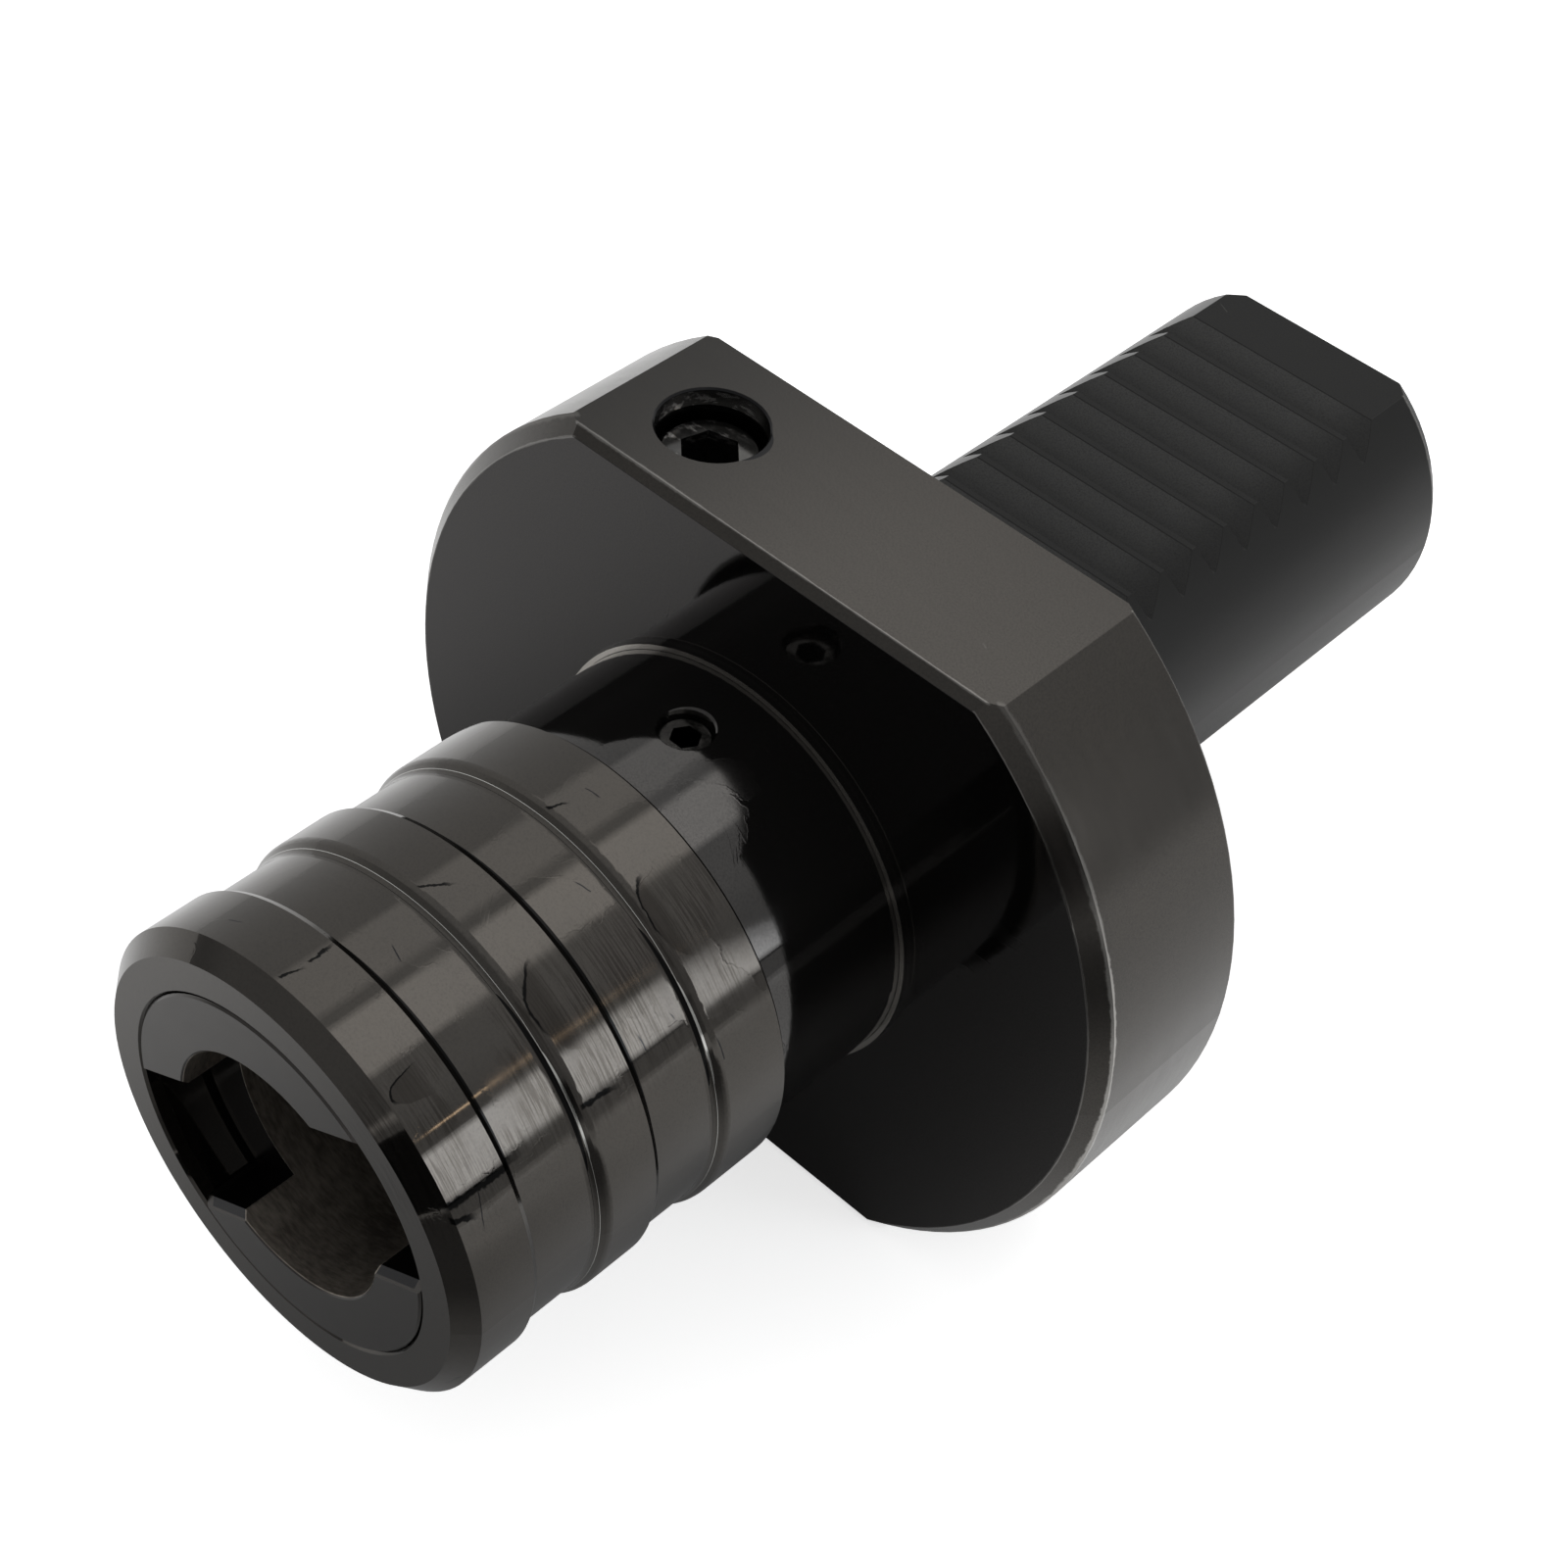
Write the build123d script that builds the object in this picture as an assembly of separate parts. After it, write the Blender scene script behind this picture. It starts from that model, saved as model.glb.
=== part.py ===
from build123d import *
from build123d.topology import SkipClean
import math
import os

os.makedirs("parts", exist_ok=True)

# The holder's axis is Y: the shank points to +Y, the nose to -Y, and the marked flat of the flange faces +Z.
# The origin is the centre of the flange's seating face. All lengths are in millimetres.

# Turret shank, size 30: plain cylinder with a toothed flat that the turret's wedge clamps
SHANK_R = 15.0
SHANK_LENGTH = 55.0
SHANK_LEAD = 1.2
RACK_FLAT_Z = 12.0
RACK_START = 9.8
RACK_PITCH = 4.0
RACK_TEETH = 9
RACK_LAST_CREST = 45.7
RACK_CREST_LAND = 0.5
RACK_ROOT_LAND = 0.3
RACK_CLAMP_FLANK = 30.0
RACK_BACK_FLANK = 80.0
SEAL_GROOVE = (2.6, 5.6)
SEAL_GROOVE_R = 12.96

# Flange with two parallel flats
FLANGE_R = 34.0
FLANGE_T = 15.0
FLANGE_CHAMFER = 1.25
FLAT_Z = 28.0
FLAT_CHAMFER = 0.7

# Neck and the spigot that reaches into the sleeve
COLLAR_R = 17.25
COLLAR_END = 15.6
NECK_R = 16.85
NECK_END = 30.2
SPIGOT_R = 15.6
SPIGOT_END = 33.0
GUIDE_R = 13.03
GUIDE_FLOOR = 3.0
WIPER_GROOVE = (30.6, 32.2)
WIPER_GROOVE_R = 14.6

# Spring chamber in the shank, closed by a screwed plug
WEB_REAR = 5.0
BOLT_HOLE_R = 4.3
CHAMBER_R = 7.6
CHAMBER_END = 46.0
PLUG_THREAD_R = 8.5

# Coolant way: inlet in the seating face, outlet in the top flat closed by a set screw
COOLANT_X = -12.1
COOLANT_Y = -7.4
COOLANT_CIRCLE_R = 25.0
INLET_R = 3.0
OUTLET_R = 4.02
OUTLET_FLOOR_Z = 17.5

# Key screws that stop the floating spindle from turning
KEY_Y = -21.3
KEY_HOLE_R = 2.0
KEY_DOG_R = 1.4

# Floating spindle
SPINDLE_R = 13.0
SPINDLE_REAR = 5.0
HEAD_R = 13.85
FACE = 58.0
BORE_R = 9.5
BORE_FLOOR = 33.6
BORE_RELIEF = (43.0, 47.5)
BORE_RELIEF_R = 9.8
MOUTH_CHAMFER = 0.15
REAR_CAVITY_R = 9.0
REAR_CAVITY_END = 19.0
SLOT_WIDTH = 10.4
SLOT_MOUTH_WIDTH = 11.6
SLOT_DEPTH = 4.9
SLOT_ANGLE = 30.5
CLIP_GROOVE = (33.5, 34.75)
CLIP_GROOVE_R = 12.45
KEYWAY_WIDTH = 3.0
KEYWAY_FLOOR_R = 11.7
FLOAT_TRAVEL = 7.0

# Locking balls: they ride on the sleeve's cone, which moves them by BALL_TRAVEL over RELEASE_TRAVEL
BALL_R = 2.5
BALL_Y = 45.2
BALL_LOCKED_R = 10.9
BALL_TRAVEL = 1.1
RELEASE_TRAVEL = 3.5
BALL_HOLE_R = 2.56
BALL_GAP = 0.05
BALL_ANGLES = (SLOT_ANGLE + 90, SLOT_ANGLE + 270)

# Locking sleeve: bands and grooves along it, measured from the seating face towards the nose
SLEEVE_R = 18.0
SLEEVE_FLOOR_R = 17.42
SLEEVE_REAR = 28.4
SLEEVE_FACE = 57.95
SLEEVE_CHAMFER = 1.4
SHOULDERS = (34.2, 45.2)
STEPS = (40.6, 51.6)
SHOULDER_RUN = 0.85
SHOULDER_FOOT_R = 1.1
SHOULDER_TOP_R = 0.8
STEP_BREAK = (0.2, 0.4)
SKIRT_R = 16.93
SKIRT_END = 34.1
CAVITY_R = 15.9
SPRING_SHOULDER = 43.2
LAND_R = 13.3
RECESS_R = 14.67
LIP = (56.8, 57.75)
LIP_R = 13.9

# Return spring and tie bolt
BOLT_R = 4.0
BOLT_TIP = 32.0
BOLT_HEAD_R = 6.5
BOLT_HEAD = (33.0, 41.0)
SPRING_SEAT_T = 1.4
SPRING_COLLAR_T = 1.6
RETURN_WIRE_R = 0.9
RETURN_MEAN_R = 6.0
RETURN_TURNS = 6.5

# Sleeve spring and its seat on the spindle
WASHER = (34.7, 35.7)
SLEEVE_WIRE_R = 0.6
SLEEVE_SPRING_R = 14.45
SLEEVE_TURNS = 2.25


def turned(points, keep_seams=False):
    """Solid of revolution about the holder's axis, from a closed outline of (radius, y) points.

    With keep_seams, an outline point in the middle of a straight wall leaves a seam there.
    """
    outline = make_face(Polyline(*points, close=True))
    return revolve(outline, Axis.Y, clean=not keep_seams)


def ring(inner, outer, y0, y1, break_edge=0.0):
    """Turned ring between two radii and two stations, with the outer edges broken."""
    b = break_edge
    points = [(inner, y0), (outer - b, y0), (outer, y0 + b), (outer, y1 - b), (outer - b, y1), (inner, y1)]
    if b == 0:
        points = [(inner, y0), (outer, y0), (outer, y1), (inner, y1)]
    return turned(points)


def rod_y(radius, y0, y1, x=0.0, z=0.0):
    """Cylinder along Y between two stations."""
    return Location((x, (y0 + y1) / 2, z), (90, 0, 0)) * Cylinder(radius, abs(y1 - y0))


def rod_z(radius, z0, z1, x=0.0, y=0.0):
    """Cylinder along Z between two heights."""
    return Pos(x, y, (z0 + z1) / 2) * Cylinder(radius, abs(z1 - z0))


def hexagon(across_flats, depth):
    """Hexagonal prism whose top is at the local origin and which goes down local -Z."""
    return extrude(RegularPolygon(across_flats / 2, 6, major_radius=False), -depth)


def cut_all(blank, cutters):
    """The blank less every cutter, with the seams of the blank's walls kept."""
    with SkipClean():
        for cutter in cutters:
            blank = blank - cutter
    return blank


def o_ring(centre_r, wire_r, y):
    """O-ring round the holder's axis."""
    return Location((0, y, 0), (90, 0, 0)) * Torus(centre_r, wire_r)


def coil(mean_r, wire_r, y_low, y_high, turns):
    """Helical spring round the holder's axis between two seats."""
    height = y_high - y_low - 2 * wire_r
    path = Helix(height / turns, height, mean_r, center=(0, y_low + wire_r, 0), direction=(0, 1, 0))
    section = Plane(origin=path @ 0, z_dir=path % 0) * Circle(wire_r)
    return sweep(section, path=path, is_frenet=True)


# Holder body: shank, flange and neck are one turned forging, with a seam where the shank's flat starts
blank = turned(keep_seams=True, points=[
    (0, SHANK_LENGTH),
    (SHANK_R - 0.7, SHANK_LENGTH),
    (SHANK_R, SHANK_LENGTH - SHANK_LEAD),
    (SHANK_R, RACK_START),
    (SHANK_R, SEAL_GROOVE[1]),
    (SEAL_GROOVE_R, SEAL_GROOVE[1]),
    (SEAL_GROOVE_R, SEAL_GROOVE[0]),
    (SHANK_R, SEAL_GROOVE[0]),
    (SHANK_R, 0),
    (FLANGE_R - 0.4, 0),
    (FLANGE_R, -0.4),
    (FLANGE_R, -(FLANGE_T - FLANGE_CHAMFER)),
    (FLANGE_R - FLANGE_CHAMFER, -FLANGE_T),
    (COLLAR_R, -FLANGE_T),
    (COLLAR_R, -COLLAR_END),
    (NECK_R, -COLLAR_END),
    (NECK_R, -(NECK_END - 0.3)),
    (NECK_R - 0.3, -NECK_END),
    (SPIGOT_R, -NECK_END),
    (SPIGOT_R, -(SPIGOT_END - 0.2)),
    (SPIGOT_R - 0.2, -SPIGOT_END),
    (0, -SPIGOT_END),
])

# Bore for the spindle, wiper groove, web with the bolt hole, spring chamber and plug thread
cuts = [turned([
    (0, -GUIDE_FLOOR),
    (GUIDE_R, -GUIDE_FLOOR),
    (GUIDE_R, -WIPER_GROOVE[0]),
    (WIPER_GROOVE_R, -WIPER_GROOVE[0]),
    (WIPER_GROOVE_R, -WIPER_GROOVE[1]),
    (GUIDE_R, -WIPER_GROOVE[1]),
    (GUIDE_R, -(SPIGOT_END - 0.3)),
    (GUIDE_R + 0.4, -(SPIGOT_END + 0.1)),
    (0, -(SPIGOT_END + 0.1)),
])]
cuts.append(rod_y(BOLT_HOLE_R, -GUIDE_FLOOR - 1, WEB_REAR + 1))
cuts.append(turned([
    (0, WEB_REAR),
    (CHAMBER_R, WEB_REAR),
    (CHAMBER_R, CHAMBER_END),
    (PLUG_THREAD_R, CHAMBER_END),
    (PLUG_THREAD_R, SHANK_LENGTH - 0.5),
    (PLUG_THREAD_R + 0.6, SHANK_LENGTH + 0.1),
    (0, SHANK_LENGTH + 0.1),
]))

# Toothed flat: the gentle flanks face the flange, so the wedge draws the shank into the turret
back_slope = 1 / math.tan(math.radians(RACK_BACK_FLANK))
clamp_slope = 1 / math.tan(math.radians(RACK_CLAMP_FLANK))
tooth_depth = (RACK_PITCH - RACK_CREST_LAND - RACK_ROOT_LAND) / (back_slope + clamp_slope)
root_z = RACK_FLAT_Z - tooth_depth
rack_outline = [(RACK_START - 2.0, RACK_FLAT_Z + 4), (RACK_START, RACK_FLAT_Z)]
for tooth in range(RACK_TEETH):
    crest = RACK_LAST_CREST - RACK_PITCH * (RACK_TEETH - 1 - tooth)
    root = crest + tooth_depth * back_slope
    rack_outline += [
        (crest, RACK_FLAT_Z),
        (root, root_z),
        (root + RACK_ROOT_LAND, root_z),
        (root + RACK_ROOT_LAND + tooth_depth * clamp_slope, RACK_FLAT_Z),
    ]
rack_outline += [(SHANK_LENGTH + 1, RACK_FLAT_Z), (SHANK_LENGTH + 1, RACK_FLAT_Z + 4)]
rack_face = Plane.YZ * make_face(Polyline(*rack_outline, close=True))
cuts.append(extrude(rack_face, SHANK_R + 1, both=True))

# Flats of the flange, with the front edge of each flat chamfered
for side in (1, -1):
    cuts.append(Pos(0, -FLANGE_T / 2, side * (FLAT_Z + 5)) * Box(80, FLANGE_T + 2, 10))
    edge_cut = Plane.YZ * make_face(Polyline(
        (-FLANGE_T - 0.01, side * (FLAT_Z - FLAT_CHAMFER)),
        (-FLANGE_T + FLAT_CHAMFER, side * (FLAT_Z + 0.01)),
        (-FLANGE_T - 1, side * (FLAT_Z + 1)),
        close=True,
    ))
    cuts.append(extrude(edge_cut, 40, both=True))

# Coolant inlet in the seating face, and the cross hole that meets it from the top flat
inlet_z = math.sqrt(COOLANT_CIRCLE_R ** 2 - COOLANT_X ** 2)
cuts.append(rod_y(INLET_R, COOLANT_Y, 1, COOLANT_X, inlet_z))
cuts.append(Location((COOLANT_X, -0.3, inlet_z), (-90, 0, 0)) * Cone(INLET_R, INLET_R + 0.8, 0.8))
cuts.append(rod_z(OUTLET_R, OUTLET_FLOOR_Z, FLAT_Z + 1, COOLANT_X, COOLANT_Y))
cuts.append(Pos(COOLANT_X, COOLANT_Y, FLAT_Z - 0.05) * Cone(OUTLET_R, OUTLET_R + 0.2, 0.2))

# Two opposite holes for the key screws, each with a light countersink
for side in (1, -1):
    cuts.append(rod_z(KEY_HOLE_R, side * (GUIDE_R - 2), side * (NECK_R + 1), 0, KEY_Y))
    mouth = Location((0, KEY_Y, side * (NECK_R - 0.05)), (0 if side == 1 else 180, 0, 0))
    cuts.append(mouth * Cone(KEY_HOLE_R, KEY_HOLE_R + 0.25, 0.25))
body = cut_all(blank, cuts)

# Floating spindle: rear guide, conical seat for the sleeve, and head with the adapter's bore
cone_slope = BALL_TRAVEL / RELEASE_TRAVEL
cone_angle = math.atan(cone_slope)
ball_line_r = BALL_LOCKED_R + (BALL_R + BALL_GAP) / math.cos(cone_angle)
seat_line_r = ball_line_r - BALL_GAP / math.cos(cone_angle)
seat_start = BALL_Y + (SPINDLE_R - seat_line_r) / cone_slope
seat_end = BALL_Y + (HEAD_R - seat_line_r) / cone_slope
spindle = turned([
    (0, -SPINDLE_REAR),
    (SPINDLE_R - 0.5, -SPINDLE_REAR),
    (SPINDLE_R, -(SPINDLE_REAR + 0.5)),
    (SPINDLE_R, -CLIP_GROOVE[0]),
    (CLIP_GROOVE_R, -CLIP_GROOVE[0]),
    (CLIP_GROOVE_R, -CLIP_GROOVE[1]),
    (SPINDLE_R, -CLIP_GROOVE[1]),
    (SPINDLE_R, -seat_start),
    (HEAD_R, -seat_end),
    (HEAD_R, -(FACE - 0.15)),
    (HEAD_R - 0.15, -FACE),
    (0, -FACE),
])
spindle -= turned([
    (0, -BORE_FLOOR),
    (BORE_R - 0.6, -BORE_FLOOR),
    (BORE_R - 0.6, -(BORE_FLOOR + 0.6)),
    (BORE_R, -(BORE_FLOOR + 0.6)),
    (BORE_R, -BORE_RELIEF[0]),
    (BORE_RELIEF_R, -(BORE_RELIEF[0] + 0.3)),
    (BORE_RELIEF_R, -(BORE_RELIEF[1] - 0.3)),
    (BORE_R, -BORE_RELIEF[1]),
    (BORE_R, -(FACE - MOUTH_CHAMFER)),
    (BORE_R + MOUTH_CHAMFER, -FACE),
    (BORE_R + MOUTH_CHAMFER, -(FACE + 1)),
    (0, -(FACE + 1)),
])
spindle -= rod_y(REAR_CAVITY_R, -REAR_CAVITY_END, -SPINDLE_REAR + 1)
spindle -= rod_y(BOLT_R + 0.02, -BORE_FLOOR - 1, -REAR_CAVITY_END + 1)

# One wide slot across the head takes the two lugs of the adapter's collar; its long edges are chamfered
lead = (SLOT_MOUTH_WIDTH - SLOT_WIDTH) / 2
slot_outline = Plane.YZ * make_face(Polyline(
    (-FACE + SLOT_DEPTH, -SLOT_WIDTH / 2),
    (-FACE + SLOT_DEPTH, SLOT_WIDTH / 2),
    (-FACE + lead, SLOT_WIDTH / 2),
    (-FACE - 1, SLOT_WIDTH / 2 + lead + 1),
    (-FACE - 1, -SLOT_WIDTH / 2 - lead - 1),
    (-FACE + lead, -SLOT_WIDTH / 2),
    close=True,
))
spindle -= Rot(0, -SLOT_ANGLE, 0) * extrude(slot_outline, 20, both=True)
slot_tips = [
    edge
    for edge in spindle.edges().filter_by(Axis.Y)
    if edge.center().Y < -FACE + SLOT_DEPTH and math.hypot(edge.center().X, edge.center().Z) < BORE_R + 1
]
spindle = fillet(slot_tips, 0.3)

# Keyways for the key screws, long enough for the float
for side in (1, -1):
    keyway_length = FLOAT_TRAVEL + 2 * KEY_DOG_R + 0.6
    centre_y = KEY_Y + FLOAT_TRAVEL / 2
    keyway = extrude(SlotOverall(keyway_length + 0.4, KEYWAY_WIDTH), 3)
    keyway = Pos(0, centre_y, 0) * Rot(0, 0, 90) * keyway
    lift = KEYWAY_FLOOR_R if side == 1 else -KEYWAY_FLOOR_R - 3
    spindle -= Pos(0, 0, lift) * keyway

# Ball holes: each narrows at its inner end so that the ball can't fall into the bore
for angle in BALL_ANGLES:
    aim = Rot(0, -angle, 0)
    hole = Location(((BORE_R + SPINDLE_R) / 2 + 2, -BALL_Y, 0), (0, 90, 0)) * Cylinder(BALL_HOLE_R, 6.44)
    seat = Location((9.965, -BALL_Y, 0), (0, 90, 0)) * Cone(2.12, BALL_HOLE_R, 1.13)
    spindle -= aim * hole
    spindle -= aim * seat

# Locking sleeve: three bands and two grooves outside, skirt, spring room, cone and recess inside
cone_start = BALL_Y + (LAND_R - ball_line_r) / cone_slope
cone_end = BALL_Y + (RECESS_R - ball_line_r) / cone_slope
sleeve_outline = [
    (SKIRT_R + 0.2, -SLEEVE_REAR),
    (SLEEVE_R - 0.3, -SLEEVE_REAR),
    (SLEEVE_R, -(SLEEVE_REAR + 0.3)),
]
for shoulder, step in zip(SHOULDERS, STEPS):
    sleeve_outline += [
        (SLEEVE_R, -shoulder),
        (SLEEVE_FLOOR_R, -(shoulder + SHOULDER_RUN)),
        (SLEEVE_FLOOR_R, -step),
        (SLEEVE_R - STEP_BREAK[0], -step),
        (SLEEVE_R, -(step + STEP_BREAK[1])),
    ]
sleeve_outline += [
    (SLEEVE_R, -(SLEEVE_FACE - SLEEVE_CHAMFER)),
    (SLEEVE_R - SLEEVE_CHAMFER, -SLEEVE_FACE),
    (LIP_R + SLEEVE_FACE - LIP[1], -SLEEVE_FACE),
    (LIP_R, -LIP[1]),
    (LIP_R, -LIP[0]),
    (RECESS_R, -(LIP[0] - 0.4)),
    (RECESS_R, -cone_end),
    (LAND_R, -cone_start),
    (LAND_R, -SPRING_SHOULDER),
    (CAVITY_R, -SPRING_SHOULDER),
    (CAVITY_R, -SKIRT_END),
    (SKIRT_R, -SKIRT_END),
    (SKIRT_R, -(SLEEVE_REAR + 0.2)),
]
sleeve = turned(sleeve_outline)

# The foot and the top of each shoulder blend into the groove and the band
for shoulder in SHOULDERS:
    for station, blend_r in ((shoulder + SHOULDER_RUN, SHOULDER_FOOT_R), (shoulder, SHOULDER_TOP_R)):
        rings = [edge for edge in sleeve.edges().filter_by(GeomType.CIRCLE) if abs(edge.center().Y + station) < 0.01]
        sleeve = fillet([edge for edge in rings if edge.radius > SKIRT_R], blend_r)

# Sleeve spring between the washer on the spindle and the sleeve's inner shoulder
sleeve_spring = coil(SLEEVE_SPRING_R, SLEEVE_WIRE_R, -SPRING_SHOULDER, -WASHER[1], SLEEVE_TURNS)
spring_washer = ring(SPINDLE_R + 0.06, CAVITY_R - 0.4, -WASHER[1], -WASHER[0], 0.15)

# Retaining ring in the spindle's groove, open at the side with an eye on each end
clip_y = (-CLIP_GROOVE[1] + 0.05, -CLIP_GROOVE[0] - 0.05)
clip = ring(CLIP_GROOVE_R + 0.05, 14.35, clip_y[0], clip_y[1])
clip -= Pos(14, sum(clip_y) / 2, 0) * Box(8, 3, 5)
for side in (1, -1):
    eye = Rot(0, -side * 14.0, 0) * rod_y(1.35, clip_y[0], clip_y[1], 14.1, 0)
    eye_hole = Rot(0, -side * 14.0, 0) * rod_y(0.6, clip_y[0] - 1, clip_y[1] + 1, 14.2, 0)
    clip = clip + (eye - rod_y(SPINDLE_R + 0.1, clip_y[0] - 1, clip_y[1] + 1)) - eye_hole

# Locking balls at rest, pressed in by the sleeve
balls = []
for angle in BALL_ANGLES:
    balls.append(Rot(0, -angle, 0) * Pos(BALL_LOCKED_R, -BALL_Y, 0) * Sphere(BALL_R))

# Key screw with a dog point that runs in the keyway, and its hexagon socket
screw_top = NECK_R - 0.85
key_screw = rod_z(KEY_HOLE_R - 0.02, GUIDE_R + 0.2, screw_top)
key_screw = chamfer(key_screw.faces().sort_by(Axis.Z)[-1].edges(), 0.25)
key_screw += rod_z(KEY_DOG_R, KEYWAY_FLOOR_R + 0.2, GUIDE_R + 0.2)
key_screw -= Pos(0, 0, screw_top) * hexagon(2.0, 1.7)
key_screw_upper = Pos(0, KEY_Y, 0) * key_screw
key_screw_lower = Pos(0, KEY_Y, 0) * Rot(180, 0, 0) * key_screw

# Set screw that closes the coolant outlet
plug_top = FLAT_Z - 2.3
coolant_plug = rod_z(OUTLET_R - 0.02, plug_top - 6.8, plug_top)
coolant_plug = chamfer(coolant_plug.faces().sort_by(Axis.Z)[-1].edges(), 0.6)
coolant_plug = chamfer(coolant_plug.faces().sort_by(Axis.Z)[0].edges(), 0.8)
coolant_plug -= Pos(0, 0, plug_top) * Rot(0, 0, 15) * hexagon(4.0, 3.6)
coolant_plug = Pos(COOLANT_X, COOLANT_Y, 0) * coolant_plug

# Shank seal, shown at the size it has when the shank is in its socket
shank_seal = o_ring((SEAL_GROOVE_R + SHANK_R) / 2, (SHANK_R - SEAL_GROOVE_R) / 2 - 0.01, sum(SEAL_GROOVE) / 2)

# Wiper ring with a lip on the spindle
wiper = turned([
    (GUIDE_R + 0.02, -WIPER_GROOVE[0] - 0.7),
    (GUIDE_R + 0.5, -WIPER_GROOVE[0] - 0.02),
    (WIPER_GROOVE_R - 0.02, -WIPER_GROOVE[0] - 0.02),
    (WIPER_GROOVE_R - 0.02, -WIPER_GROOVE[1] + 0.02),
    (GUIDE_R + 0.02, -WIPER_GROOVE[1] + 0.02),
])

# Bumper that the spindle rests on, and the two seats of the return spring
bumper = ring(REAR_CAVITY_R + 1.0, SPINDLE_R - 0.4, -SPINDLE_REAR + 0.05, -GUIDE_FLOOR, 0.3)
spring_seat = turned([
    (BOLT_HOLE_R + 0.05, WEB_REAR),
    (CHAMBER_R - 0.3, WEB_REAR),
    (CHAMBER_R - 0.3, WEB_REAR + SPRING_SEAT_T),
    (4.9, WEB_REAR + SPRING_SEAT_T),
    (4.9, WEB_REAR + SPRING_SEAT_T + 1.2),
    (BOLT_HOLE_R + 0.05, WEB_REAR + SPRING_SEAT_T + 1.2),
])
collar_y = BOLT_HEAD[0] - SPRING_COLLAR_T
spring_collar = turned([
    (BOLT_R + 0.05, BOLT_HEAD[0]),
    (CHAMBER_R - 0.4, BOLT_HEAD[0]),
    (CHAMBER_R - 0.4, collar_y),
    (4.9, collar_y),
    (4.9, collar_y - 1.2),
    (BOLT_R + 0.05, collar_y - 1.2),
])
return_spring = coil(RETURN_MEAN_R, RETURN_WIRE_R, WEB_REAR + SPRING_SEAT_T, collar_y, RETURN_TURNS)

# Tie bolt: a cap screw from the rear, through the web, into the spindle
tie_bolt = turned([
    (0, -BOLT_TIP),
    (BOLT_R - 0.6, -BOLT_TIP),
    (BOLT_R, -(BOLT_TIP - 0.6)),
    (BOLT_R, BOLT_HEAD[0]),
    (BOLT_HEAD_R, BOLT_HEAD[0]),
    (BOLT_HEAD_R, BOLT_HEAD[1] - 0.6),
    (BOLT_HEAD_R - 0.6, BOLT_HEAD[1]),
    (0, BOLT_HEAD[1]),
])
tie_bolt -= Location((0, BOLT_HEAD[1], 0), (-90, 0, 0)) * hexagon(6.0, 4.0)

# End plug with its O-ring groove and hexagon socket
end_plug = turned([
    (0, 43.0),
    (CHAMBER_R - 0.55, 43.0),
    (CHAMBER_R - 0.15, 43.4),
    (CHAMBER_R - 0.15, 44.0),
    (6.3, 44.0),
    (6.3, 45.5),
    (CHAMBER_R - 0.15, 45.5),
    (CHAMBER_R - 0.15, 46.2),
    (PLUG_THREAD_R - 0.42, 46.2),
    (PLUG_THREAD_R - 0.02, 46.6),
    (PLUG_THREAD_R - 0.02, 52.6),
    (PLUG_THREAD_R - 0.42, 53.0),
    (0, 53.0),
])
end_plug -= Location((0, 53.0, 0), (-90, 0, 0)) * hexagon(8.0, 5.0)
end_plug_seal = o_ring((6.3 + CHAMBER_R) / 2, (CHAMBER_R - 6.3) / 2 - 0.01, 44.75)

# One file for each piece
nodes = {
    "holder_body": body,
    "float_spindle": spindle,
    "locking_sleeve": sleeve,
    "sleeve_spring": sleeve_spring,
    "spring_washer": spring_washer,
    "retaining_clip": clip,
    "locking_ball_upper": balls[0],
    "locking_ball_lower": balls[1],
    "key_screw_upper": key_screw_upper,
    "key_screw_lower": key_screw_lower,
    "coolant_plug": coolant_plug,
    "shank_seal": shank_seal,
    "wiper_ring": wiper,
    "bumper_ring": bumper,
    "spring_seat": spring_seat,
    "return_spring": return_spring,
    "spring_collar": spring_collar,
    "tie_bolt": tie_bolt,
    "end_plug": end_plug,
    "end_plug_seal": end_plug_seal,
}
for name, piece in nodes.items():
    export_step(piece, f"parts/{name}.step")
    print(name, len(piece.solids()), round(piece.volume, 1))
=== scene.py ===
# %% [markdown]
# # A turret tool holder with a quick-change chuck
#
# The holder is dark, oiled steel: a cylindrical shank with a toothed flat, a flange with two flats, and a
# neck that carries a grooved locking sleeve. Its pieces come ready-made from the frame, at their real
# size. This lesson sets the camera where the photographer stood, lights the scene softly, and gives each
# piece its finish: turned, ground, blackened, oiled and worn.

# %% Load the frame
import math

import bpy
from mathutils import Matrix, Vector


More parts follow.
